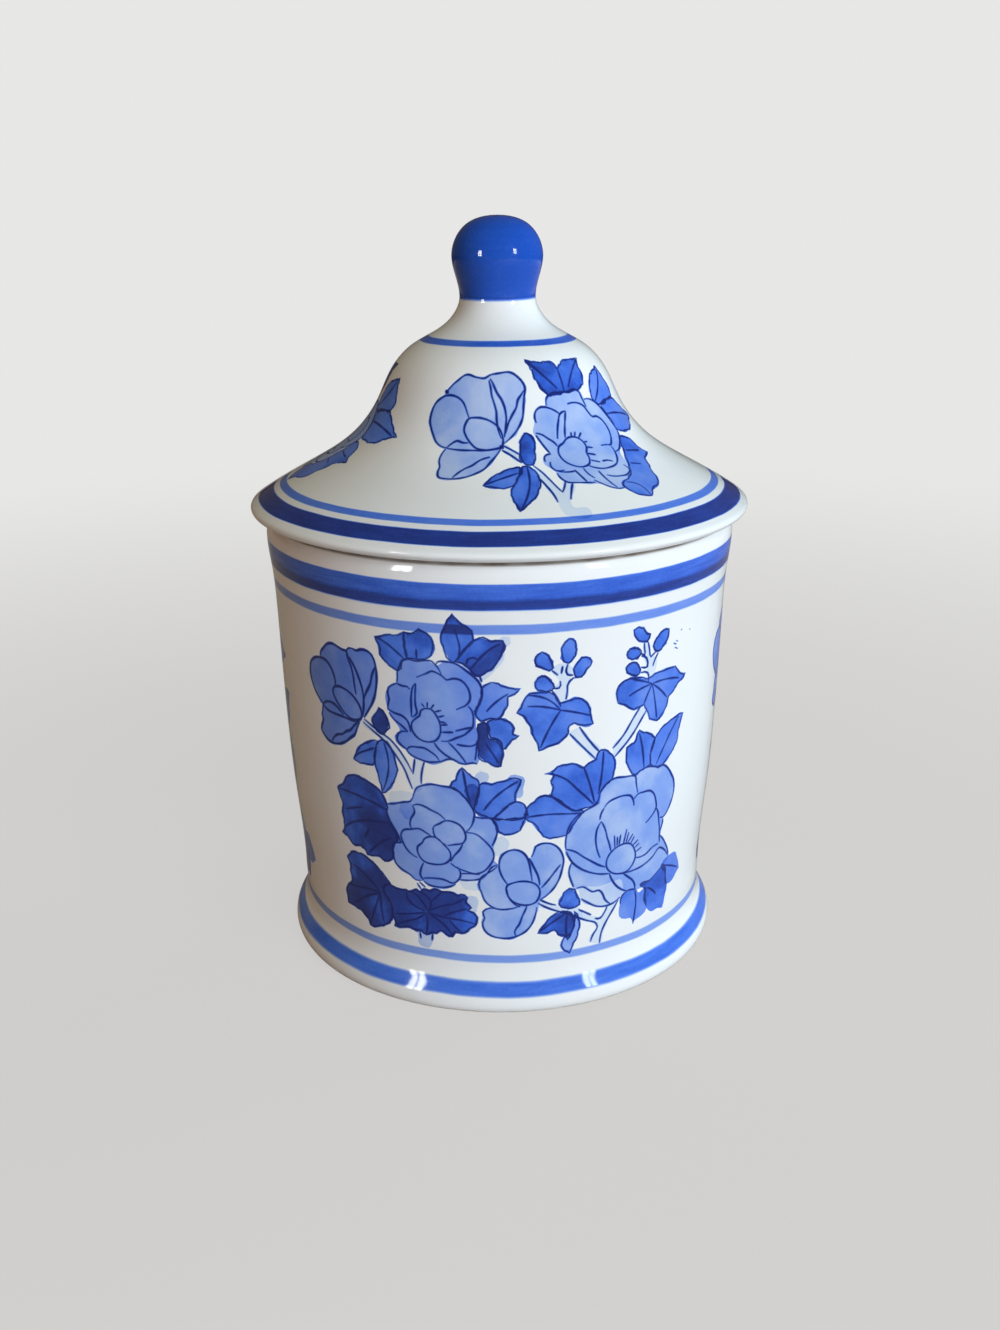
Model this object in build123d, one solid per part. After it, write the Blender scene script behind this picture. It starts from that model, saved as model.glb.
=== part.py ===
from build123d import *
import os

# Porcelain lidded jar: a waisted canister on a flared foot, a bell-shaped lid whose collar drops
# into the mouth, and the ball knob luted on top of the lid's neck.
# Sizes are millimetres. The origin is the middle of the foot, where the jar stands, and +Z is up.
# Each piece is turned about the Z axis, so its outline is drawn in radius and height.

# Jar, outside
jar_height = 110.3
foot_radius = 55.1
foot_edge_height = 2.2
foot_edge_width = 1.7
waist_radius = 51.9
waist_height = 17.5
bead_radius = 56.9
bead_drop = 4.9
bead_width = 2.4
# Each pair is a share of the climb and a share of the change in radius over that stretch.
foot_flare_shares = (0.38, 0.8)
wall_shares = ((0.245, 0.3), (0.51, 0.57), (0.79, 0.72), (0.905, 0.84))

# Jar, inside and underneath
wall = 4.6
rim_wall = 5.0
rim_round = 0.9
mouth_depth = 13.0
floor = 5.0
floor_cove = 8.0
foot_recess = 3.0
foot_ring_width = 4.2
foot_ring_cove = 1.6
inner_wall_share = 0.5

# Lid
lip_radius = 60.3
lip_height = 3.2
lip_under = 2.3
lip_top = 1.6
lip_middle_share = 0.5
bell_height = 46.3
neck_radius = 8.95
bell_lip_slope = (-1.0, 0.66)
bell_shares = (
    (0.155, 0.75), (0.31, 0.532), (0.49, 0.403), (0.635, 0.337), (0.757, 0.236), (0.85, 0.088), (0.92, 0.025)
)
lid_wall = 4.4
neck_core = 9.3
inner_bell_shares = (0.21, 0.39, 0.58, 0.72)

# Collar under the lid
collar_clearance = 0.9
collar_depth = 9.0
collar_wall = 4.0
collar_edge = 1.0

# Knob
knob_radius = 10.7
knob_rise = 9.1
knob_crown = 9.0
knob_swell_shares = (0.43, 0.4)
knob_crown_shares = (0.767, 0.31)

# Fits and places that follow from the sizes above
bead_height = jar_height - bead_drop
mouth_radius = bead_radius - rim_wall
floor_height = foot_recess + floor
inner_foot_radius = waist_radius - wall
collar_radius = mouth_radius - collar_clearance
collar_inner_radius = collar_radius - collar_wall
collar_bottom = jar_height - collar_depth
lip_top_height = jar_height + lip_height
neck_height = lip_top_height + bell_height
knob_middle_height = neck_height + knob_rise
knob_top_height = knob_middle_height + knob_crown

UP = (0, 1)
DOWN = (0, -1)
INWARD = (-1, 0)
OUTWARD = (1, 0)


def between(low, high, shares):
    """Point at a share of the climb and a share of the change in radius from low to high."""
    climb_share, radius_share = shares
    radius = low[0] + (high[0] - low[0]) * radius_share
    height = low[1] + (high[1] - low[1]) * climb_share
    return (radius, height)


def inside(curve, share, thickness):
    """Point one thickness inside an outer curve, at a share of its length."""
    along = curve % share
    return curve @ share + Vector(-along.Y, along.X) * thickness


def turned(edges):
    """Solid turned about the Z axis from a closed outline in radius and height."""
    return revolve(Plane.XZ * make_face(edges), Axis.Z)


def jar_body():
    """Canister: recessed foot ring, flared foot, waisted wall and a rounded bead at the rim."""
    ring_outer = (foot_radius - foot_edge_width, 0)
    ring_inner_radius = foot_radius - foot_edge_width - foot_ring_width
    foot = (foot_radius, foot_edge_height)
    waist = (waist_radius, waist_height)
    bead = (bead_radius, bead_height)
    rim_outer = (bead_radius - bead_width, jar_height)
    rim_inner = (mouth_radius + rim_round, jar_height)
    mouth = (mouth_radius, jar_height - rim_round)
    throat = (mouth_radius, jar_height - mouth_depth)
    wall_foot = (inner_foot_radius, floor_height + floor_cove)

    foot_edge = EllipticalCenterArc(
        (ring_outer[0], foot_edge_height), foot_edge_width, foot_edge_height, start_angle=-90, arc_size=90
    )
    flare = Spline(foot, between(foot, waist, foot_flare_shares), waist, tangents=(UP, UP))
    outer_wall = Spline(
        waist, *[between(waist, bead, shares) for shares in wall_shares], bead, tangents=(UP, UP)
    )
    bead_top = EllipticalCenterArc(
        (rim_outer[0], bead_height), bead_width, bead_drop, start_angle=0, arc_size=90
    )
    mouth_edge = CenterArc((rim_inner[0], mouth[1]), rim_round, start_angle=90, arc_size=90)
    inner_wall = Spline(
        throat, inside(outer_wall, inner_wall_share, wall), wall_foot, tangents=(DOWN, DOWN)
    )
    cove = CenterArc(
        (inner_foot_radius - floor_cove, wall_foot[1]), floor_cove, start_angle=0, arc_size=-90
    )
    floor_edge = (inner_foot_radius - floor_cove, floor_height)
    ring_cove = CenterArc(
        (ring_inner_radius - foot_ring_cove, foot_recess - foot_ring_cove), foot_ring_cove,
        start_angle=90, arc_size=-90,
    )
    recess_edge = (ring_inner_radius - foot_ring_cove, foot_recess)
    return turned([
        Line((0, foot_recess), recess_edge),
        ring_cove,
        Line(ring_cove @ 1, (ring_inner_radius, 0)),
        Line((ring_inner_radius, 0), ring_outer),
        foot_edge,
        flare,
        outer_wall,
        bead_top,
        Line(rim_outer, rim_inner),
        mouth_edge,
        Line(mouth, throat),
        inner_wall,
        cove,
        Line(floor_edge, (0, floor_height)),
        Line((0, floor_height), (0, foot_recess)),
    ])


def lid():
    """Bell-shaped lid: rounded lip, ogee bell up to the neck, hollow inside, and the locating collar."""
    seat_edge = (lip_radius - lip_under, jar_height)
    lip_middle = (lip_radius, jar_height + lip_height * lip_middle_share)
    bell_foot = (lip_radius - lip_top, lip_top_height)
    neck = (neck_radius, neck_height)
    crown_inside = (0, neck_height - neck_core)

    lip = Spline(seat_edge, lip_middle, bell_foot, tangents=(OUTWARD, UP, bell_lip_slope))
    bell_low = (neck_radius, lip_top_height)
    bell_high = (lip_radius - lip_top, neck_height)
    bell = Spline(
        bell_foot, *[between(bell_low, bell_high, shares) for shares in bell_shares], neck,
        tangents=(bell_lip_slope, UP),
    )
    collar_outer_edge = CenterArc(
        (collar_radius - collar_edge, collar_bottom + collar_edge), collar_edge, start_angle=0, arc_size=-90
    )
    collar_inner_edge = CenterArc(
        (collar_inner_radius + collar_edge, collar_bottom + collar_edge), collar_edge,
        start_angle=270, arc_size=-90,
    )
    inner_slope = bell % inner_bell_shares[-1]
    inner_bell = Spline(
        (collar_inner_radius, jar_height),
        *[inside(bell, share, lid_wall) for share in inner_bell_shares],
        tangents=(UP, inner_slope),
    )
    dome_foot = inner_bell @ 1
    dome_corner = dome_foot + inner_slope * ((crown_inside[1] - dome_foot.Y) / inner_slope.Y)
    inner_dome = Bezier(dome_foot, dome_corner, crown_inside)
    return turned([
        Line((collar_radius, jar_height), seat_edge),
        lip,
        bell,
        Line(neck, (0, neck_height)),
        Line((0, neck_height), crown_inside),
        inner_bell,
        inner_dome,
        Line((collar_inner_radius, jar_height), collar_inner_edge @ 1),
        collar_inner_edge,
        Line(collar_inner_edge @ 0, collar_outer_edge @ 1),
        collar_outer_edge,
        Line(collar_outer_edge @ 0, (collar_radius, jar_height)),
    ])


def lid_knob():
    """Ball knob that swells from the neck and closes over in a slightly flattened crown."""
    foot = (neck_radius, neck_height)
    middle = (knob_radius, knob_middle_height)
    top = (0, knob_top_height)
    swell = Spline(foot, between(foot, middle, knob_swell_shares), middle, tangents=(UP, UP))
    crown = Spline(middle, between(middle, top, knob_crown_shares), top, tangents=(UP, INWARD))
    return turned([
        Line((0, neck_height), foot),
        swell,
        crown,
        Line(top, (0, neck_height)),
    ])


os.makedirs("parts", exist_ok=True)
for node in (jar_body, lid, lid_knob):
    export_step(node(), os.path.join("parts", node.__name__ + ".step"))
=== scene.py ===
"""Looks of a blue-and-white porcelain jar with a bell lid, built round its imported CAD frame.

The jar, the lid and the knob are turned from their own outlines. The brush painting is cut into the
turned skin itself: each petal, leaf and line is a set of faces that carry a strength of cobalt, and
one glaze turns that strength into colour.
"""
import logging
import math
from dataclasses import dataclass, field
from enum import Enum
from typing import Any

import bmesh
import bpy
import numpy as np
from mathutils import Matrix, Vector
from mathutils.geometry import delaunay_2d_cdt
from mathutils.kdtree import KDTree


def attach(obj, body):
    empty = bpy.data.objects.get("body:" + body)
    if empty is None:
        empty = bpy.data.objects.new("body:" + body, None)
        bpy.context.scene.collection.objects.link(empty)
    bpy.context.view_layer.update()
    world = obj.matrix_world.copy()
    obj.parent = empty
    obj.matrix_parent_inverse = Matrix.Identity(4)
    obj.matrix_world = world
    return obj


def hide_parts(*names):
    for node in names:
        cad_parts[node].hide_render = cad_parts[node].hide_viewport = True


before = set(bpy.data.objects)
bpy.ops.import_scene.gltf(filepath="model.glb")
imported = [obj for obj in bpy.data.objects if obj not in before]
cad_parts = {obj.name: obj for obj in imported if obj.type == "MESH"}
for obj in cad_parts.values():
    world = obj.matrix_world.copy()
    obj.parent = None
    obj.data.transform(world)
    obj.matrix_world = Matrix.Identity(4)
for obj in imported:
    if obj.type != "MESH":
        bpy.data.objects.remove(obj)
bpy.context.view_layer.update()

LOG = logging.getLogger("lidded_jar")
Pair = tuple[float, float]
Triple = tuple[float, float, float]
Colour = Triple
Place = Triple
Ramp = tuple[tuple[float, Colour], ...]
Stroke = list[np.ndarray]

# Metres in a millimetre
MM = 0.001
# Steps in a whole turn, and the panels in which the painting repeats
TURN_STEPS = 180
PANELS = 3
PANEL_STEPS = TURN_STEPS // PANELS
PANEL_ARC = 360 / PANELS
# Left edge of the jar's front panel, in degrees from the front
FRONT_START = -60.0
# Longest step in millimetres and largest bend in degrees between the rows of a plain stretch
ROW_REACH = 1.6
ROW_BEND = 5.0
# How much coarser the rows are where they hardly show
HIDDEN_COARSE = 2.5
# Points closer than this are one point, and shorter edges are taken out, in metres
WELD = 2e-6
SLIVER = WELD / 4
# Least length that anything is divided by
TINY = 1e-9
# Directions along an outline
UP: Pair = (0, 1)
DOWN: Pair = (0, -1)
OUT: Pair = (1, 0)
IN: Pair = (-1, 0)
# Names of the face layers
COBALT = "cobalt"
ZONE = "zone"


class Zone(Enum):
    """Which part of a turned skin a face belongs to."""

    OUTSIDE = 0
    HIDDEN = 1
    BARE = 2


class Lamp(Enum):
    """What a lamp is for: soft light, or a glint in the glaze."""

    LIGHT = "light"
    GLINT = "glint"


class Tone(Enum):
    """Strength of the cobalt, from the thinnest wash to the ink of the lines."""

    MIST = 0.08
    FAINT = 0.14
    PALE = 0.2
    BLUSH = 0.22
    PETAL = 0.26
    ROSE = 0.32
    BLOOM = 0.36
    THIN = 0.4
    LEAF = 0.47
    FULL = 0.53
    DEEP = 0.58
    DUSK = 0.64
    DARK = 0.68
    INK = 1.0


class Outline:
    """A turned piece's outline in radius and height, in millimetres, drawn stretch by stretch.

    Each row holds a point and the direction of travel there, so that the turned skin gets the true
    normals of the curve. Points lie one spacing apart or closer, points within the repeat distance
    are one, and each kind of stretch has a fewest number of rows.
    """

    spacing = 0.12
    repeat = 1e-6
    line_rows = 2
    arc_rows = 4
    curve_rows = 3

    def __init__(self, start: Pair) -> None:
        """Start at a point.

        Args:
            start: Radius and height of the first point.
        """
        self.end = np.array(start, float)
        self.places: list[np.ndarray] = []
        self.ways: list[np.ndarray] = []

    def _add(self, places: np.ndarray, ways: np.ndarray) -> None:
        """Keep a stretch of points.

        Args:
            places: The points.
            ways: Direction of travel at each of them.
        """
        self.places.extend(places)
        self.ways.extend(ways / np.linalg.norm(ways, axis=1)[:, None])
        self.end = places[-1]

    def line(self, to: Pair) -> None:
        """Draw a straight stretch.

        Args:
            to: Radius and height of its far end.
        """
        span = np.array(to, float) - self.end
        count = max(self.line_rows, math.ceil(np.linalg.norm(span) / self.spacing) + 1)
        shares = np.linspace(0.0, 1.0, count)[:, None]
        self._add(self.end + shares * span, np.repeat(span[None], count, 0))

    def arc(self, radii: Pair, start: float, sweep: float) -> None:
        """Draw a quarter turn or less of an ellipse from the present end.

        Args:
            radii: Half width and half height of the ellipse.
            start: Angle of the present end, in degrees.
            sweep: Angle to travel, in degrees.
        """
        size = np.array(radii, float)
        length = float(size.max()) * math.radians(abs(sweep))
        count = max(self.arc_rows, math.ceil(length / self.spacing))
        angles = np.radians(start + np.linspace(0.0, sweep, count))
        ring = np.stack([np.cos(angles), np.sin(angles)], 1)
        ways = np.stack([-np.sin(angles), np.cos(angles)], 1) * size * math.copysign(1.0, sweep)
        self._add(self.end + (ring - ring[0]) * size, ways)

    def spline(self, knots: list[Pair], first: Pair, last: Pair) -> None:
        """Draw a smooth stretch through some knots.

        Args:
            knots: Points after the present end.
            first: Direction at the present end.
            last: Direction at the last knot.
        """
        points = np.vstack([self.end[None], np.array(knots, float)])
        chords = np.linalg.norm(np.diff(points, axis=0), axis=1)
        count = len(points)
        grid, right = np.eye(count), np.zeros((count, 2))
        right[0] = np.array(first) / np.linalg.norm(first)
        right[-1] = np.array(last) / np.linalg.norm(last)
        for i in range(1, count - 1):
            low, high = chords[i - 1], chords[i]
            grid[i, i - 1:i + 2] = 1 / low, 2 / low + 2 / high, 1 / high
            rise = (points[i] - points[i - 1]) / low**2 + (points[i + 1] - points[i]) / high**2
            right[i] = 3 * rise
        slopes = np.linalg.solve(grid, right)
        for i, chord in enumerate(chords):
            steps = max(self.curve_rows, math.ceil(chord / self.spacing))
            shares = np.linspace(0.0, 1.0, steps)[:, None]
            self._add(*hermite(points[i], points[i + 1], slopes[i] * chord, slopes[i + 1] * chord, shares))

    def rows(self) -> tuple[np.ndarray, np.ndarray]:
        """Take out repeated points.

        Returns:
            The points, and their outward normals.
        """
        places, ways = np.array(self.places), np.array(self.ways)
        keep = np.r_[True, np.linalg.norm(np.diff(places, axis=0), axis=1) > self.repeat]
        places, ways = places[keep], ways[keep]
        return places, np.stack([ways[:, 1], -ways[:, 0]], 1)


def hermite(
    low: np.ndarray, high: np.ndarray, leave: np.ndarray, arrive: np.ndarray, shares: np.ndarray
) -> tuple[np.ndarray, np.ndarray]:
    """Points on a cubic between two points, and the slopes there.

    Args:
        low: First point.
        high: Last point.
        leave: Slope at the first point.
        arrive: Slope at the last point.
        shares: Column of shares of the way.

    Returns:
        The points and the slopes.
    """
    t = shares
    places = (
        low * (2 * t**3 - 3 * t**2 + 1) + leave * (t**3 - 2 * t**2 + t)
        + high * (3 * t**2 - 2 * t**3) + arrive * (t**3 - t**2)
    )
    ways = (high - low) * 6 * t * (1 - t) + leave * (3 * t**2 - 4 * t + 1) + arrive * (3 * t**2 - 2 * t)
    return places, ways


def between(low: Pair, high: Pair, shares: Pair) -> Pair:
    """Point at a share of the climb and a share of the change in radius from low to high.

    Args:
        low: Radius and height of the lower point.
        high: Radius and height of the upper point.
        shares: Share of the climb, and share of the change in radius.

    Returns:
        Radius and height of the point.
    """
    climb, change = shares
    return (low[0] + (high[0] - low[0]) * change, low[1] + (high[1] - low[1]) * climb)


def turning_points(places: np.ndarray, normals: np.ndarray, reach: float, bend: float) -> list[int]:
    """Rows of a dense outline that a turned mesh needs.

    Args:
        places: Points of the outline.
        normals: Their normals.
        reach: Longest step, in millimetres.
        bend: Largest turn of the normal in a step, in degrees.

    Returns:
        The rows' numbers, first and last among them.
    """
    chosen, length = [0], 0.0
    for i in range(1, len(places)):
        length += float(np.linalg.norm(places[i] - places[i - 1]))
        turn = math.degrees(math.acos(np.clip(normals[i] @ normals[chosen[-1]], -1.0, 1.0)))
        if length >= reach or turn >= bend:
            chosen.append(i)
            length = 0.0
    if chosen[-1] != len(places) - 1:
        chosen.append(len(places) - 1)
    return chosen


@dataclass(frozen=True)
class Motif:
    """One flower, leaf or stem of the painting, in the drawing units of its wall.

    A path is written as points with a comma inside each, a mark ! after a sharp corner, and a z at
    the end of a closed line. A slash parts two paths, and a line may start with its width and a colon.

    Attributes:
        tone: Strength of the washes.
        washes: Closed paths that are filled with thin cobalt.
        lines: Paths of the brush lines.
        shapes: Closed paths that are filled and lined too.
        width: Width of the lines in millimetres.
        edge: Width of the lines round the shapes.
    """

    tone: Tone
    washes: str = ""
    lines: str = ""
    shapes: str = ""
    width: float = 0.38
    edge: float = 0.32

    @staticmethod
    def paths(written: str) -> list[str]:
        """Part some written paths at their slashes."""
        return [path.strip() for path in written.split("/") if path.strip()]


@dataclass(frozen=True)
class BrushPath:
    """A drawn path: its points, which of them are corners, and whether it closes on itself."""

    points: np.ndarray
    corners: np.ndarray
    closed: bool

    @classmethod
    def read(cls, text: str) -> "BrushPath":
        """Read a written path.

        Args:
            text: The path in the notation of Motif, without a width.

        Returns:
            The path.
        """
        words = text.split()
        closed = words[-1] == "z"
        words = words[:-1] if closed else words
        points = np.array([[float(n) for n in word.rstrip("!").split(",")] for word in words])
        return cls(points, np.array([word.endswith("!") for word in words]), closed)

    def smooth(self, step: float) -> np.ndarray:
        """Sample the path as a smooth curve through its points.

        Args:
            step: Wanted distance between samples.

        Returns:
            The samples. A closed path's first sample isn't repeated.
        """
        points, count = self.points, len(self.points)
        ahead = np.roll(points, -1, 0) - points
        behind = points - np.roll(points, 1, 0)
        long_ahead = np.maximum(np.linalg.norm(ahead, axis=1), TINY)[:, None]
        long_behind = np.maximum(np.linalg.norm(behind, axis=1), TINY)[:, None]
        slopes = (behind / long_behind * long_ahead + ahead / long_ahead * long_behind)
        slopes = slopes / (long_ahead + long_behind)
        sharp = self.corners.copy()
        if not self.closed:
            sharp[0] = sharp[-1] = True
        curve = []
        for i in range(count if self.closed else count - 1):
            j = (i + 1) % count
            chord = float(long_ahead[i, 0])
            middle = ahead[i] / chord
            leave = middle if sharp[i] else slopes[i]
            arrive = middle if sharp[j] else slopes[j]
            if sharp[i] and not sharp[j]:
                leave = 2 * middle - arrive
            if sharp[j] and not sharp[i]:
                arrive = 2 * middle - leave
            shares = np.linspace(0.0, 1.0, max(1, round(chord / step)) + 1)[:-1, None]
            curve.append(hermite(points[i], points[j], leave * chord, arrive * chord, shares)[0])
        if not self.closed:
            curve.append(points[-1:])
        return np.vstack(curve)


def inside(loop: np.ndarray, spots: np.ndarray) -> np.ndarray:
    """Tell which spots lie inside a loop.

    Args:
        loop: Points of a closed loop.
        spots: Points to test.

    Returns:
        One truth value for each spot.
    """
    found = np.zeros(len(spots), bool)
    near = np.flatnonzero(((spots >= loop.min(0)) & (spots <= loop.max(0))).all(1))
    if not len(near):
        return found
    x, y = spots[near, 0][:, None], spots[near, 1][:, None]
    (ax, ay), (bx, by) = loop.T, np.roll(loop, -1, 0).T
    cross = (bx - ax) * (y - ay) - (x - ax) * (by - ay)
    rising = (ay <= y) & (by > y) & (cross > 0)
    falling = (ay > y) & (by <= y) & (cross < 0)
    found[near] = rising.sum(1) != falling.sum(1)
    return found


def signed_area(loop: np.ndarray) -> float:
    """Twice the area of a loop, below zero where it runs clockwise."""
    ahead = np.roll(loop, -1, 0)
    return float(np.sum(loop[:, 0] * ahead[:, 1] - loop[:, 1] * ahead[:, 0]))


def brush_loops(curve: np.ndarray, closed: bool, widths: np.ndarray) -> Stroke:
    """Edges of a brush line.

    Args:
        curve: Samples along the middle of the line.
        closed: Whether the line closes on itself.
        widths: Width of the line at each sample.

    Returns:
        One loop round an open line, or the outer and inner loop of a closed one.
    """
    if closed:
        way = np.roll(curve, -1, 0) - np.roll(curve, 1, 0)
    else:
        way = np.gradient(curve, axis=0)
    way = way / np.maximum(np.linalg.norm(way, axis=1), TINY)[:, None]
    side = np.stack([-way[:, 1], way[:, 0]], 1) * widths[:, None] / 2
    if not closed:
        return [np.vstack([curve + side, (curve - side)[::-1]])]
    pair = [curve - side, curve + side]
    return pair if signed_area(curve) > 0 else pair[::-1]


def under(strokes: list[Stroke], spots: np.ndarray) -> np.ndarray:
    """Tell which spots lie under any of some brush lines.

    Args:
        strokes: The lines, each as an outer loop and perhaps an inner one.
        spots: Points to test.

    Returns:
        One truth value for each spot.
    """
    found = np.zeros(len(spots), bool)
    for outer, *inner in strokes:
        covered = inside(outer, spots)
        for loop in inner:
            covered &= ~inside(loop, spots)
        found |= covered
    return found


@dataclass
class PaintedSkin:
    """The painted stretch of a turned wall, cut along the edges of its brush work.

    A panel is laid flat without stretching its angles, filled with triangles that keep to the
    brush edges, and repeated round the wall.

    Attributes:
        places: Dense outline points of the stretch, from its foot up.
        rise: The drawing's upright measure at each point.
        reach: Drawing units in one radian round the wall.
        start: Angle of the panel's left edge from the front, in degrees.
        motifs: The painting of one panel.
        shifts: How far the hand set each panel's painting off its place, in drawing units.
        wash_step: Distance between samples of a wash's edge, in millimetres, then those of lines
            and of the plain mesh.
        taper: Share of its width that a line keeps at its tips.
        bleed: Width that the soft bleed of a line adds to it.
        ragged: How far the lines round leaves stray in short waves, then the waves' length.
        stray_reach: How far the edge of a wash strays from its lines, then the strays' length, what
            turns the place of a path into their start, and the shares of long and short ones.
        wash_over: Share of its stray by which a wash lies outside its drawing.
        wash_keep: Share of an earlier wash that shows through a later one.
        wash_room: Strength over the dark tone that washes can add up to.
        bleed_keep: Share of a wash that shows through a bleed, then the bleed's strength.
        press: How much a line swells and thins, then how fast, across and upright.
        tip: How soon a line reaches its full width.
        snap: Distance within which brush edges share a point.
    """

    places: np.ndarray
    rise: np.ndarray
    reach: float
    start: float
    motifs: tuple[Motif, ...]
    shifts: tuple[Pair, ...] = ((0.0, 0.0),) * PANELS
    wash_step: float = 0.95
    line_step: float = 0.7
    mesh_step: float = 2.3
    taper: float = 0.45
    bleed: float = 0.32
    ragged: float = 0.17
    ragged_length: float = 3.6
    stray_reach: float = 0.4
    stray_length: float = 11.0
    stray_seed: Pair = (1.7, 0.9)
    stray_mix: Pair = (0.6, 0.4)
    wash_over: float = 0.4
    wash_keep: float = 0.45
    wash_room: float = 0.06
    bleed_keep: float = 0.72
    bleed_tone: float = 0.25
    press: float = 0.2
    press_waves: Pair = (1.3, 0.9)
    tip: float = 2.2
    snap: float = 0.012
    flat: np.ndarray = field(init=False)
    scale: float = field(init=False)
    width: float = field(init=False)

    def __post_init__(self) -> None:
        """Work out the flat height of each row, which keeps shapes true at each radius."""
        radii = self.places[:, 0]
        steps = np.linalg.norm(np.diff(self.places, axis=0), axis=1)
        self.scale = float(radii.mean())
        middle = (radii[1:] + radii[:-1]) / 2
        self.flat = np.r_[0.0, np.cumsum(steps / middle)] * self.scale
        self.width = math.radians(PANEL_ARC) * self.scale

    def lay(self, drawn: np.ndarray) -> np.ndarray:
        """Take drawing points to the flat panel.

        Args:
            drawn: Points in the drawing's units.

        Returns:
            Points in the flat panel's millimetres.
        """
        across = (drawn[:, 0] / self.reach - math.radians(self.start)) * self.scale
        return np.stack([across, np.interp(drawn[:, 1], self.rise, self.flat)], 1)

    def swell(self, laid: np.ndarray) -> np.ndarray:
        """Flat millimetres for one real millimetre at each flat point."""
        return self.scale / np.interp(laid[:, 1], self.flat, self.places[:, 0])

    def paint(self, shift: Pair) -> tuple[list[tuple[np.ndarray, float]], list[Stroke], list[Stroke]]:
        """Lay out the painting of one panel.

        Args:
            shift: How far the painting is off its place.

        Returns:
            The washes with their strength, then the lines, and the soft bleed round each of them.
        """
        washes, lines, bleeds = [], [], []
        for motif in self.motifs:
            shapes = motif.paths(motif.shapes)
            for text in motif.paths(motif.washes) + shapes:
                path = BrushPath.read(text + " z")
                laid = BrushPath(self.lay(path.points + shift), path.corners, True)
                edge = laid.smooth(self.wash_step)
                edge = self.stray(edge, self.stray_reach, self.stray_length, self.wash_over)
                washes.append((edge, motif.tone.value))
            edges = [f"{motif.edge}:{shape} z" for shape in shapes]
            for text in motif.paths(motif.lines) + edges:
                width, _, rest = text.rpartition(":")
                path = BrushPath.read(rest)
                laid = BrushPath(self.lay(path.points + shift), path.corners, path.closed)
                stroke = float(width or motif.width)
                ragged = self.ragged if text in edges else 0.0
                lines.append(self.stroke(laid, stroke, ragged, self.line_step))
                bleeds.append(self.stroke(laid, stroke, ragged, self.wash_step, self.bleed))
        return washes, lines, bleeds

    def stroke(
        self, path: BrushPath, width: float, ragged: float, step: float, extra: float = 0.0
    ) -> Stroke:
        """Edges of one brush line, which swells and thins with the pressure of the hand.

        Args:
            path: The line on the flat panel.
            width: Width of the line in millimetres.
            ragged: How far a closed line strays in short waves.
            step: Distance between samples.
            extra: Width that is added to it all along.

        Returns:
            One loop, or two for a closed line.
        """
        curve = path.smooth(step)
        if ragged and path.closed:
            curve = self.stray(curve, ragged, self.ragged_length, 0.0)
        across, upright = self.press_waves
        press = 1 + self.press * np.sin(curve[:, 0] * across + curve[:, 1] * upright)
        if not path.closed:
            along = np.linspace(0.0, 1.0, len(curve))
            press *= self.taper + (1 - self.taper) * np.clip(np.sin(np.pi * along) * self.tip, 0, 1)
        return brush_loops(curve, path.closed, (width * press + extra) * self.swell(curve))

    def stray(self, loop: np.ndarray, reach: float, length: float, over: float) -> np.ndarray:
        """Let a closed path stray a little in and out, as a full brush does.

        Args:
            loop: Samples of the path.
            reach: How far it strays, in millimetres.
            length: Distance from one stray to the next.
            over: Share of the reach that it lies outside its drawing.

        Returns:
            The moved samples.
        """
        way = np.roll(loop, -1, 0) - np.roll(loop, 1, 0)
        side = np.stack([-way[:, 1], way[:, 0]], 1)
        side = side / np.maximum(np.linalg.norm(way, axis=1), TINY)[:, None]
        steps = np.linalg.norm(np.roll(loop, -1, 0) - loop, axis=1)
        whole = float(steps.sum())
        turns = 2 * math.pi * (np.cumsum(steps) - steps) / whole
        waves = max(2, round(whole / length))
        start = float(loop[0] @ self.stray_seed)
        slow, fast = self.stray_mix
        wander = slow * np.sin(waves * turns + start)
        wander += fast * np.sin((2 * waves + 1) * turns + 2 * start)
        inward = 1.0 if signed_area(loop) > 0 else -1.0
        return loop - side * (inward * (wander + over) * reach * self.swell(loop))[:, None]

    def base_points(self) -> tuple[list[Pair], list[tuple[int, int]]]:
        """Plain mesh points of the panel, with the edges round its border.

        Returns:
            Points, and pairs of point numbers.
        """
        top = float(self.flat[-1])
        columns = np.linspace(0.0, self.width, PANEL_STEPS + 1)
        rows = np.linspace(0.0, top, max(2, round(top / self.mesh_step)) + 1)
        border = (
            [(x, 0.0) for x in columns] + [(self.width, y) for y in rows[1:]]
            + [(x, top) for x in columns[-2::-1]] + [(0.0, y) for y in rows[-2:0:-1]]
        )
        count = len(border)
        edges = [(i, (i + 1) % count) for i in range(count)]
        shift = (columns[1] - columns[0]) / 2
        inner = [
            (float(x) + shift * (j % 2), float(y))
            for j, y in enumerate(rows[1:-1]) for x in columns[1:-2]
        ]
        return border + inner, edges

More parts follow.
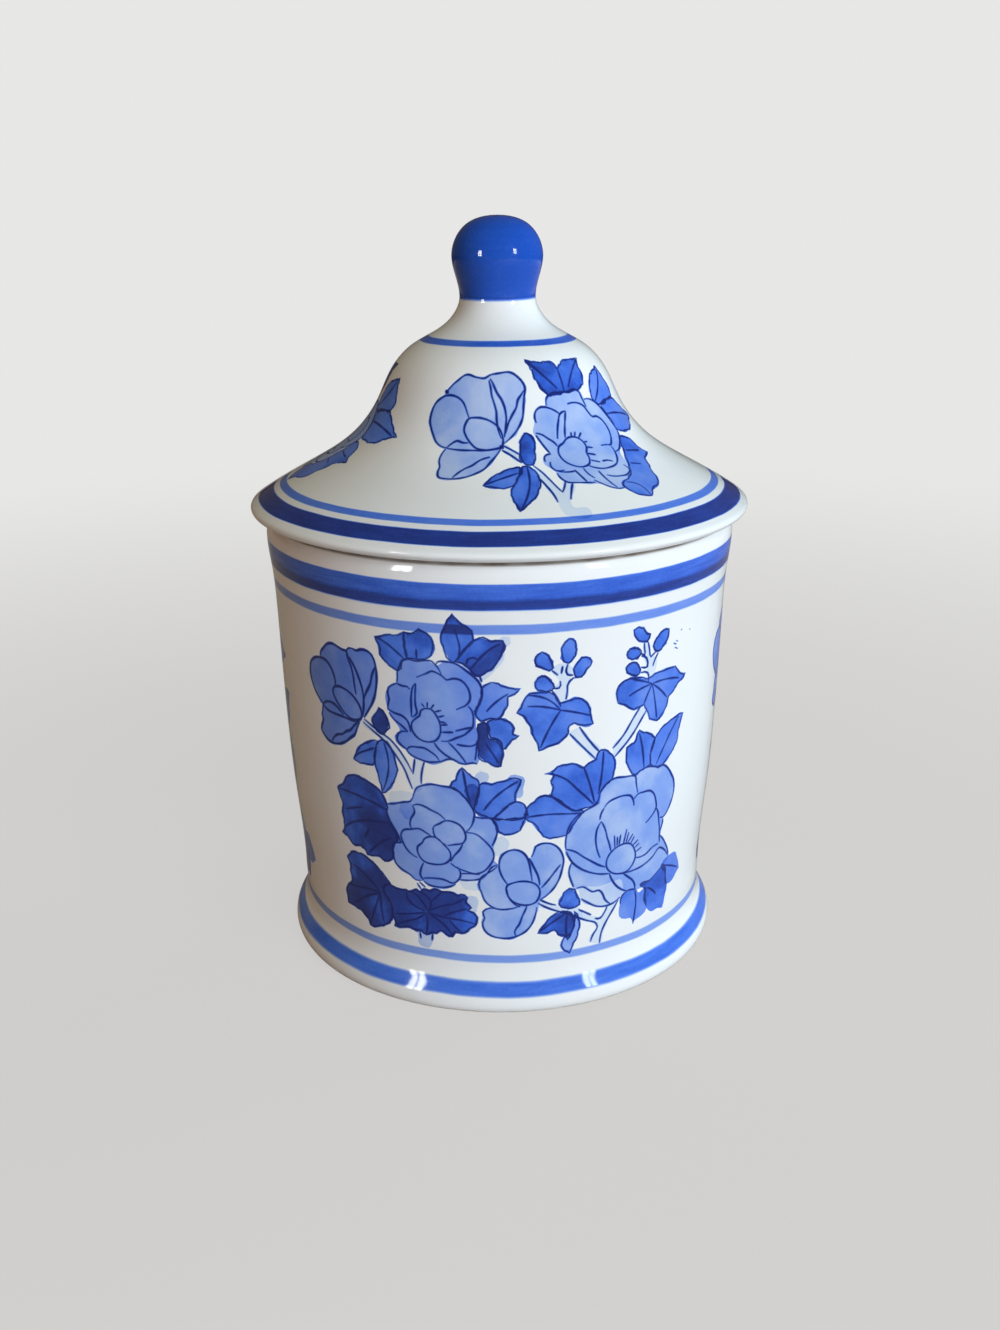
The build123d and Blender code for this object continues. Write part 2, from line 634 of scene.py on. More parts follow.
    def triangles(self, shift: Pair) -> tuple[np.ndarray, list[list[int]], np.ndarray]:
        """Cut one panel into triangles and give each its strength of cobalt.

        Args:
            shift: How far the painting is off its place.

        Returns:
            Flat points, triangles, and the strength of each triangle.
        """
        washes, lines, bleeds = self.paint(shift)
        points, edges = self.base_points()
        for loop in [loop for loop, _ in washes] + [loop for line in lines + bleeds for loop in line]:
            first, count = len(points), len(loop)
            points.extend(map(tuple, loop))
            edges.extend((first + i, first + (i + 1) % count) for i in range(count))
        made = delaunay_2d_cdt([Vector(p) for p in points], edges, [], 0, self.snap)
        flat = np.array([tuple(v) for v in made[0]])
        faces = [list(f) for f in made[2]]
        spots = flat[np.array(faces)].mean(1)
        strength = np.zeros(len(faces))
        for loop, tone in washes:
            covered = inside(loop, spots)
            before = strength[covered]
            strength[covered] = np.maximum(before * self.wash_keep + tone, before)
        strength = np.minimum(strength, Tone.DARK.value + self.wash_room)
        bled = under(bleeds, spots)
        strength[bled] = strength[bled] * self.bleed_keep + self.bleed_tone
        strength[under(lines, spots)] = Tone.INK.value
        return flat, faces, strength

    def build(self, bm: bmesh.types.BMesh) -> None:
        """Add the painted stretch to a mesh.

        Args:
            bm: The mesh, which already has the layers for cobalt and zone.
        """
        for shift in dict.fromkeys(self.shifts):
            first, *others = [turn for turn, own in enumerate(self.shifts) if own == shift]
            panel = self.panel(bm, shift, first)
            for turn in others:
                copy = bmesh.ops.duplicate(bm, geom=panel)["geom"]
                moved = [g for g in copy if isinstance(g, bmesh.types.BMVert)]
                spin = Matrix.Rotation(2 * math.pi * (turn - first) / PANELS, 3, "Z")
                bmesh.ops.rotate(bm, verts=moved, cent=(0, 0, 0), matrix=spin)

    def panel(self, bm: bmesh.types.BMesh, shift: Pair, turn: int) -> list[Any]:
        """Add one panel to a mesh.

        Args:
            bm: The mesh.
            shift: How far the painting is off its place.
            turn: Number of the panel, from the front one on.

        Returns:
            Its vertices and faces.
        """
        flat, faces, strength = self.triangles(shift)
        angles = flat[:, 0] / self.scale + math.radians(self.start + PANEL_ARC * turn)
        radii = np.interp(flat[:, 1], self.flat, self.places[:, 0]) * MM
        heights = np.interp(flat[:, 1], self.flat, self.places[:, 1]) * MM
        verts = [
            bm.verts.new((r * math.sin(a), -r * math.cos(a), z)) for a, r, z in zip(angles, radii, heights)
        ]
        cobalt, zone = bm.faces.layers.float[COBALT], bm.faces.layers.int[ZONE]
        panel: list[Any] = list(verts)
        for corners, share in zip(faces, strength):
            face = bm.faces.new([verts[i] for i in corners])
            face[cobalt] = float(share)
            face[zone] = Zone.OUTSIDE.value
            panel.append(face)
        return panel


def painted_mesh() -> bmesh.types.BMesh:
    """Start an empty mesh.

    Returns:
        The mesh, with the face layers for cobalt and zone.
    """
    bm = bmesh.new()
    bm.faces.layers.float.new(COBALT)
    bm.faces.layers.int.new(ZONE)
    return bm


def turn_run(bm: bmesh.types.BMesh, places: np.ndarray, zone: Zone) -> None:
    """Turn a stretch of outline about the upright axis.

    Args:
        bm: Mesh to add to, with the layers for cobalt and zone.
        places: Points of the stretch, in millimetres.
        zone: Zone of the new faces.
    """
    run = painted_mesh()
    verts = [run.verts.new((r * MM, 0.0, z * MM)) for r, z in places]
    edges = [run.edges.new(pair) for pair in zip(verts, verts[1:])]
    bmesh.ops.spin(
        run, geom=verts + edges, cent=(0, 0, 0), axis=(0, 0, 1), angle=2 * math.pi,
        steps=TURN_STEPS, use_merge=True, use_duplicate=False,
    )
    layer = run.faces.layers.int[ZONE]
    for face in run.faces:
        face[layer] = zone.value
    mesh = bpy.data.meshes.new("run")
    run.to_mesh(mesh)
    run.free()
    bm.from_mesh(mesh)
    bpy.data.meshes.remove(mesh)


def turned_object(
    name: str, outline: Outline, runs: list[tuple[int, int, Zone]], skin: PaintedSkin | None
) -> bpy.types.Object:
    """Make a closed turned piece, with its painted skin if it has one.

    Args:
        name: Name of the piece.
        outline: Its whole outline.
        runs: First row, last row and zone of each plain stretch of the outline.
        skin: The painted stretch.

    Returns:
        The object, smooth and with the outline's own normals.
    """
    places, normals = outline.rows()
    bm = painted_mesh()
    for first, last, zone in runs:
        stretch = slice(first, last + 1)
        coarse = HIDDEN_COARSE if zone is Zone.HIDDEN else 1.0
        rows = turning_points(places[stretch], normals[stretch], ROW_REACH * coarse, ROW_BEND * coarse)
        turn_run(bm, places[stretch][rows], zone)
    if skin:
        skin.build(bm)
    bmesh.ops.remove_doubles(bm, verts=bm.verts, dist=WELD)
    bmesh.ops.dissolve_degenerate(bm, edges=bm.edges, dist=SLIVER)
    bmesh.ops.recalc_face_normals(bm, faces=bm.faces)
    mesh = bpy.data.meshes.new(name)
    bm.to_mesh(mesh)
    bm.free()
    mesh.polygons.foreach_set("use_smooth", [True] * len(mesh.polygons))
    set_normals(mesh, places, normals)
    BakeSheet().lay(mesh, places, skin.start if skin else FRONT_START)
    piece = bpy.data.objects.new(name, mesh)
    bpy.context.scene.collection.objects.link(piece)
    return piece


def set_normals(mesh: bpy.types.Mesh, places: np.ndarray, normals: np.ndarray) -> None:
    """Give each vertex the normal of the nearest outline point.

    Args:
        mesh: The turned mesh.
        places: Dense outline points in millimetres.
        normals: Outward normals there, as radius and height.
    """
    tree = KDTree(len(places))
    for i, (r, z) in enumerate(places):
        tree.insert((r, z, 0.0), i)
    tree.balance()
    x, y, z = read_vectors(mesh.vertices, "co").T
    radii = np.maximum(np.hypot(x, y), WELD)
    rows = [tree.find((r, h, 0.0))[1] for r, h in zip(radii / MM, z / MM)]
    out, up = normals[rows].T
    out = np.where(radii > WELD, out, 0.0)
    mesh.normals_split_custom_set_from_vertices(np.stack([out * x / radii, out * y / radii, up], 1))


@dataclass(frozen=True)
class BakeSheet:
    """Layout of a turned skin on a baked texture: three quarters for panels, one for the rest.

    Level faces lie on two discs, and the plain walls in thirds over them. A face counts as level by
    the upright part of its normal, and a corner that lies left of its panel by less than the wrap
    angle stays with it.
    """

    layer: str = "OFBake"
    quarter: float = 0.5
    edge: float = 0.01
    panel: float = 0.48
    disc: float = 0.62
    disc_gap: float = 0.25
    disc_radius: float = 0.115
    wall: Pair = (0.51, 0.76)
    wall_size: Pair = (0.16, 0.23)
    level: float = 0.7
    wrap: float = 150.0

    def lay(self, mesh: bpy.types.Mesh, places: np.ndarray, start: float) -> None:
        """Lay a mesh flat on the sheet.

        Args:
            mesh: The turned mesh.
            places: Dense outline points in millimetres.
            start: Left edge of the first panel, in degrees from the front.
        """
        sides = read_numbers(mesh.polygons, "loop_total").astype(int)
        centres = read_vectors(mesh.polygons, "center")
        zones = read_numbers(mesh.attributes[ZONE].data, "value")
        turned = np.degrees(np.arctan2(centres[:, 0], -centres[:, 1])) - start
        panel = np.repeat(turned // PANEL_ARC % PANELS, sides)
        outside = np.repeat(zones == Zone.OUTSIDE.value, sides)
        tilt = np.repeat(read_vectors(mesh.polygons, "normal")[:, 2], sides)
        corners = read_numbers(mesh.loops, "vertex_index").astype(int)
        x, y, z = read_vectors(mesh.vertices, "co")[corners].T
        own = np.degrees(np.arctan2(x, -y)) - start - PANEL_ARC * panel
        own = ((own + self.wrap) % 360 - self.wrap) / PANEL_ARC
        climb = (z / MM - places[:, 1].min()) / np.ptp(places[:, 1])
        reach = places[:, 0].max() * MM
        disc = np.abs(tilt) > self.level
        disc_x = self.disc + self.disc_gap * (tilt > 0) + self.disc_radius * x / reach
        wall_x = self.wall[0] + self.wall_size[0] * (own + panel)
        panel_x = self.edge + self.panel * own + self.quarter * (panel % 2)
        disc_y = self.disc + self.disc_radius * y / reach
        wall_y = self.wall[1] + self.wall_size[1] * climb
        panel_y = self.edge + self.panel * climb + self.quarter * (panel // 2)
        across = np.where(outside, panel_x, np.where(disc, disc_x, wall_x))
        upright = np.where(outside, panel_y, np.where(disc, disc_y, wall_y))
        layer = mesh.uv_layers.new(name=self.layer)
        layer.uv.foreach_set("vector", np.stack([across, upright], 1).astype(np.float32).ravel())


def read_numbers(items: Any, name: str, width: int = 1) -> np.ndarray:
    """Read one property of all items of a mesh.

    Args:
        items: The mesh's vertices, loops, faces or attribute values.
        name: Name of the property.
        width: Numbers in each.

    Returns:
        The numbers in one row.
    """
    numbers = np.zeros(len(items) * width, np.float32 if width > 1 else np.int32)
    items.foreach_get(name, numbers)
    return numbers


def read_vectors(items: Any, name: str) -> np.ndarray:
    """Read one vector property of all items of a mesh as rows of three."""
    return read_numbers(items, name, 3).reshape(-1, 3).astype(float)


class Cloud(Enum):
    """A layer of noise: its scale in metres, its octaves, and the share of each finer octave."""

    SWAY = (38.0, 3.0, 0.5)
    STREAK = (95.0, 4.0, 0.62)
    POOL = (95.0, 2.0, 0.5)
    MOTTLE = (330.0, 3.0, 0.6)
    GRAIN = (1500.0, 2.0, 0.5)
    TINT = (26.0, 3.0, 0.5)
    # Clouds in the painted shade of the seam under the lid's lip
    SEAM_SHADE = (130.0, 3.0, 0.5)
    WAVE = (55.0, 2.0, 0.5)
    RIPPLE = (420.0, 2.0, 0.5)
    POLISH = (240.0, 3.0, 0.5)
    STAIN = (140.0, 5.0, 0.65)
    CLAY = (2600.0, 3.0, 0.7)
    PAPER = (3.0, 3.0, 0.5)


class Value:
    """A shader number whose arithmetic adds Math nodes."""

    def __init__(self, net: "Net", socket: Any) -> None:
        """Wrap a socket of a net."""
        self.net, self.socket = net, socket

    def _math(self, operation: str, *terms: Any) -> "Value":
        """Add one Math node."""
        node = self.net.add("ShaderNodeMath", {"operation": operation}, dict(enumerate(terms)))
        return Value(self.net, node.outputs[0])

    def __add__(self, other: Any) -> "Value":
        """Sum."""
        return self._math("ADD", self, other)

    __radd__ = __add__

    def __mul__(self, other: Any) -> "Value":
        """Product."""
        return self._math("MULTIPLY", self, other)

    __rmul__ = __mul__

    def __sub__(self, other: Any) -> "Value":
        """Difference."""
        return self._math("SUBTRACT", self, other)

    def __rsub__(self, other: Any) -> "Value":
        """Difference from a number."""
        return self._math("SUBTRACT", other, self)

    def __lt__(self, other: Any) -> "Value":
        """One where this is the smaller."""
        return self._math("LESS_THAN", self, other)

    def limit(self, low: float, high: float) -> "Value":
        """Keep the number between two others."""
        return self._math("MINIMUM", self._math("MAXIMUM", self, low), high)

    def step(self, low: float, high: float) -> "Value":
        """Smooth step from 0 at low to 1 at high."""
        node = self.net.add(
            "ShaderNodeMapRange", {"interpolation_type": "SMOOTHSTEP"},
            {"Value": self, "From Min": low, "From Max": high},
        )
        return Value(self.net, node.outputs[0])


class Net:
    """The node tree of one material or of the world."""

    def __init__(self, owner: bpy.types.Material | bpy.types.World) -> None:
        """Start an empty tree.

        Args:
            owner: The new material or world.
        """
        owner.use_nodes = True
        self.owner = owner
        self.tree = owner.node_tree
        self.tree.nodes.clear()

    def add(self, kind: str, settings: dict[str, Any], sockets: dict[Any, Any]) -> bpy.types.Node:
        """Add a node.

        Args:
            kind: Type of the node.
            settings: Its own settings, which are set first. A list under stops fills a colour ramp.
            sockets: Values or links of its inputs, by name or number.

        Returns:
            The node.
        """
        node = self.tree.nodes.new(kind)
        for key, value in settings.items():
            if key == "stops":
                ramp = node.color_ramp
                while len(ramp.elements) < len(value):
                    ramp.elements.new(1.0)
                for element, (place, colour) in zip(ramp.elements, value):
                    element.position = place
                    element.color = (*colour, 1.0)
            else:
                setattr(node, key, value)
        for key, value in sockets.items():
            socket = node.inputs[key]
            if isinstance(value, Value):
                self.tree.links.new(value.socket, socket)
            elif isinstance(value, bpy.types.NodeSocket):
                self.tree.links.new(value, socket)
            elif socket.type == "RGBA" and len(value) == 3:
                socket.default_value = (*value, 1.0)
            else:
                socket.default_value = value
        return node

    def places(self) -> bpy.types.NodeSocket:
        """Object coordinates, in metres."""
        return self.add("ShaderNodeTexCoord", {}, {}).outputs["Object"]

    def noise(self, where: Any, cloud: Cloud) -> Value:
        """Noise of one layer at some coordinates, from about 0 to 1."""
        layer = dict(zip(("Scale", "Detail", "Roughness"), cloud.value))
        return Value(self, self.add("ShaderNodeTexNoise", {}, {"Vector": where, **layer}).outputs[0])

    def bump(self, height: Value, strength: float, depth: float) -> bpy.types.NodeSocket:
        """Normal of an uneven surface, from its height, the share that shows and its depth in metres."""
        sockets = {"Strength": strength, "Distance": depth, "Height": height}
        return self.add("ShaderNodeBump", {}, sockets).outputs[0]

    def seen(self) -> Value:
        """One where the camera looks at it, and zero where light bounces."""
        return Value(self, self.add("ShaderNodeLightPath", {}, {}).outputs["Is Camera Ray"])

    def stretch(self, where: Any, scale: Place) -> bpy.types.NodeSocket:
        """Coordinates with each axis scaled."""
        return self.add("ShaderNodeMapping", {}, {"Vector": where, "Scale": scale}).outputs[0]

    def mix(self, share: Any, low: Any, high: Any, blend: str = "MIX") -> bpy.types.NodeSocket:
        """Blend two colours.

        Args:
            share: Share of the second colour.
            low: First colour or its socket.
            high: Second colour or its socket.
            blend: Kind of blending.

        Returns:
            The colour's socket.
        """
        settings = {"data_type": "RGBA", "blend_type": blend}
        node = self.add("ShaderNodeMix", settings, {0: share, 6: low, 7: high})
        return node.outputs[2]

    def finish(self, sockets: dict[str, Any]) -> bpy.types.Material:
        """Close the tree with a Principled shader.

        Args:
            sockets: Its inputs.

        Returns:
            The material.
        """
        shader = self.add("ShaderNodeBsdfPrincipled", {}, sockets)
        self.add("ShaderNodeOutputMaterial", {}, {"Surface": shader.outputs[0]})
        return self.owner


@dataclass(frozen=True)
class Ring:
    """A ring of cobalt between two heights, laid on with a brush while the piece turns.

    An edge fades over the soft distance to each side, and wanders by the sway, in millimetres.
    """

    low: float
    high: float
    tone: float
    soft: float = 0.22
    sway: float = 0.5


WHITE: Colour = (1.0, 1.0, 1.0)
COBALT_RAMP: Ramp = (
    (0.0, (0.80, 0.81, 0.815)),
    (0.08, (0.60, 0.68, 0.80)),
    (0.24, (0.23, 0.36, 0.76)),
    (0.36, (0.135, 0.25, 0.73)),
    (0.47, (0.070, 0.185, 0.71)),
    (0.58, (0.030, 0.106, 0.56)),
    (0.68, (0.020, 0.055, 0.31)),
    (0.78, (0.016, 0.037, 0.22)),
    (1.0, (0.009, 0.020, 0.155)),
)
KNOB_RAMP: Ramp = (
    (0.0, (0.80, 0.81, 0.815)),
    (0.08, (0.60, 0.68, 0.80)),
    (0.3, (0.10, 0.23, 0.68)),
    (0.62, (0.011, 0.075, 0.45)),
    (1.0, (0.006, 0.03, 0.2)),
)


@dataclass(frozen=True)
class GlazeFinish:
    """Clear glossy glaze over white porcelain, with cobalt painted under it.

    Attributes:
        ramp: Colours of the cobalt from bare glaze to ink, with their strengths.
        streaks: How much the brush marks change the strength of a ring.
        pull: How much finer the brush marks are along each axis.
        pool: Noise between which the cobalt pools.
        wash_mix: Strength of the thin wash, and what pools and mottling add.
        ring_yield: Share by which a ring gives way to the drawing over it.
        grain_mix: Strength without grain, and what the grain adds.
        warm: Tint of the glaze where it is thin.
        speck: Cells of the kiln specks, share of cells with one, its radius in cells, and its cover.
        seam_shade_heights: Heights of a brown ring painted as the shade of the seam under the lid's lip, if
            any.
        seam_shade_fade: How far the seam shade fades below and above its lower edge, and at its upper one.
        seam_shade_mix: Cover of the seam shade without its clouds, and what they add.
        wave_mix: Shares of the long waves and of the ripples in the glaze.
        wave_depth: Depth of the waves in metres.
        gloss: Least roughness of the glaze, and how much it varies.
    """

    name: str
    rings: tuple[Ring, ...] = ()
    ramp: Ramp = COBALT_RAMP
    streaks: float = 0.4
    pull: Place = (1.0, 1.0, 9.0)
    pool: Pair = (0.3, 0.7)
    wash_mix: Triple = (0.66, 0.36, 0.32)
    ring_yield: float = 0.5
    grain_mix: Pair = (0.93, 0.14)
    warm: Colour = (1.0, 0.975, 0.935)
    speck: tuple[float, float, float, float] = (70.0, 0.10, 0.016, 0.8)
    speck_colour: Colour = (0.10, 0.075, 0.06)
    seam_shade_heights: Pair | None = None
    seam_shade_fade: Triple = (0.35, 0.25, 0.3)
    seam_shade_mix: Pair = (0.5, 0.7)
    seam_shade_colour: Colour = (0.12, 0.08, 0.055)
    wave_mix: Pair = (0.9, 0.06)
    wave_depth: float = 0.00022
    gloss: Pair = (0.045, 0.05)
    index: float = 1.47

    def strength(self, net: Net, where: Any, height: Value) -> Value:
        """Strength of cobalt all over the piece.

        Args:
            net: The material's net.
            where: Object coordinates.
            height: Height in millimetres.

        Returns:
            The strength, from 0 to about 1.
        """
        drawn = Value(net, net.add("ShaderNodeAttribute", {"attribute_name": COBALT}, {}).outputs["Fac"])
        sway = net.noise(where, Cloud.SWAY) - 0.5
        streaks = net.noise(net.stretch(where, self.pull), Cloud.STREAK)
        cover: Value | None = None
        for ring in self.rings:
            place = height + sway * (2 * ring.sway)
            band = place.step(ring.low - ring.soft, ring.low + ring.soft)
            band = band * (1.0 - place.step(ring.high - ring.soft, ring.high + ring.soft))
            band = band * (ring.tone * (1 - self.streaks / 2) + streaks * (ring.tone * self.streaks))
            cover = band if cover is None else cover + band
        thin, pooled, mottled = self.wash_mix
        pools = net.noise(where, Cloud.POOL).step(*self.pool)
        total = drawn * (thin + pools * pooled + net.noise(where, Cloud.MOTTLE) * mottled)
        total = total if cover is None else total + cover * (1.0 - self.ring_yield * drawn)
        even, grainy = self.grain_mix
        return (total * (even + net.noise(where, Cloud.GRAIN) * grainy)).limit(0.0, 1.0)

    def specks(self, net: Net, where: Any) -> Value:
        """Sparse iron specks of the kiln.

        Args:
            net: The material's net.
            where: Object coordinates.

        Returns:
            How well they cover the glaze.
        """
        scale, share, size, cover = self.speck
        cells = net.add("ShaderNodeTexVoronoi", {}, {"Vector": where, "Scale": scale})
        lot = net.add("ShaderNodeSeparateColor", {}, {"Color": cells.outputs["Color"]})
        chosen = Value(net, lot.outputs[0]) < share
        return chosen * (Value(net, cells.outputs["Distance"]) < size) * cover

    def painted_seam_shade(self, net: Net, where: Any, height: Value) -> Value:
        """Painted shade of the seam under the lid's lip: a brown ring between two heights.

        Args:
            net: The material's net.
            where: Object coordinates.
            height: Height in millimetres.

        Returns:
            How well the painted seam shade covers the glaze.
        """
        low, high = self.seam_shade_heights
        under_foot, over_foot, top = self.seam_shade_fade
        band = height.step(low - under_foot, low + over_foot)
        band = band * (1.0 - height.step(high - top, high + top))
        even, cloudy = self.seam_shade_mix
        return band * (even + net.noise(where, Cloud.SEAM_SHADE) * cloudy)

    def make(self) -> bpy.types.Material:
        """Make the material.

        Returns:
            The material.
        """
        net = Net(bpy.data.materials.new(self.name))
        where = net.places()
        split = net.add("ShaderNodeSeparateXYZ", {}, {0: where})
        height = Value(net, split.outputs[2]) * (1 / MM)
        strength = self.strength(net, where, height)
        paint = net.add("ShaderNodeValToRGB", {"stops": self.ramp}, {0: strength}).outputs[0]
        tint = net.mix(net.noise(where, Cloud.TINT), WHITE, self.warm)
        colour = net.mix(1.0, paint, tint, "MULTIPLY")
        colour = net.mix(self.specks(net, where), colour, self.speck_colour)
        # A brown ring painted as the shade of the seam under the lid's lip
        if self.seam_shade_heights:
            colour = net.mix(self.painted_seam_shade(net, where, height), colour, self.seam_shade_colour)
        long, short = self.wave_mix
        smooth, spread = self.gloss
        waves = net.noise(where, Cloud.WAVE) * long + net.noise(where, Cloud.RIPPLE) * short
        return net.finish({
            "Base Color": colour,
            "Roughness": smooth + net.noise(where, Cloud.POLISH) * spread,
            "Normal": net.bump(waves, 1.0, self.wave_depth),
            "IOR": self.index,
        })


@dataclass(frozen=True)
class BisqueFinish:
    """Unglazed porcelain where a piece stood or was seated in the kiln.

    Attributes:
        stained: Noise between which the clay is stained.
        rough: Least roughness, and what the grain adds.
        grain: Share of the grain that shows, and its depth in metres.
    """

    name: str
    light: Colour = (0.74, 0.69, 0.61)
    dark: Colour = (0.52, 0.46, 0.38)
    stained: Pair = (0.45, 0.8)
    rough: Pair = (0.66, 0.2)
    grain: Pair = (0.6, 0.00015)

    def make(self) -> bpy.types.Material:
        """Make the material.

        Returns:
            The material.
        """
        net = Net(bpy.data.materials.new(self.name))
        where = net.places()
        stain = net.noise(where, Cloud.STAIN).step(*self.stained)
        clay = net.noise(where, Cloud.CLAY)
        least, spread = self.rough
        return net.finish({
            "Base Color": net.mix(stain, self.light, self.dark),
            "Roughness": least + clay * spread,
            "Normal": net.bump(clay, *self.grain),
        })


# Painted rings, with heights over the foot in millimetres
JAR_RINGS = (
    Ring(4.45, 7.5, 0.49, 0.45),
    Ring(12.0, 14.0, 0.28, 0.3),
    Ring(93.85, 96.0, 0.34, 0.26),
    Ring(99.3, 105.2, 0.55, 0.2, 0.45),
    Ring(99.3, 101.6, 0.18, 0.7, 0.45),
)
LID_RINGS = (
    Ring(113.72, 116.05, 0.75, 0.12, 0.22),
    Ring(116.92, 117.88, 0.45, 0.09, 0.16),
    Ring(149.92, 151.0, 0.55, 0.13, 0.2),
    Ring(159.35, 260.0, 0.62, 0.4, 0.55),
)

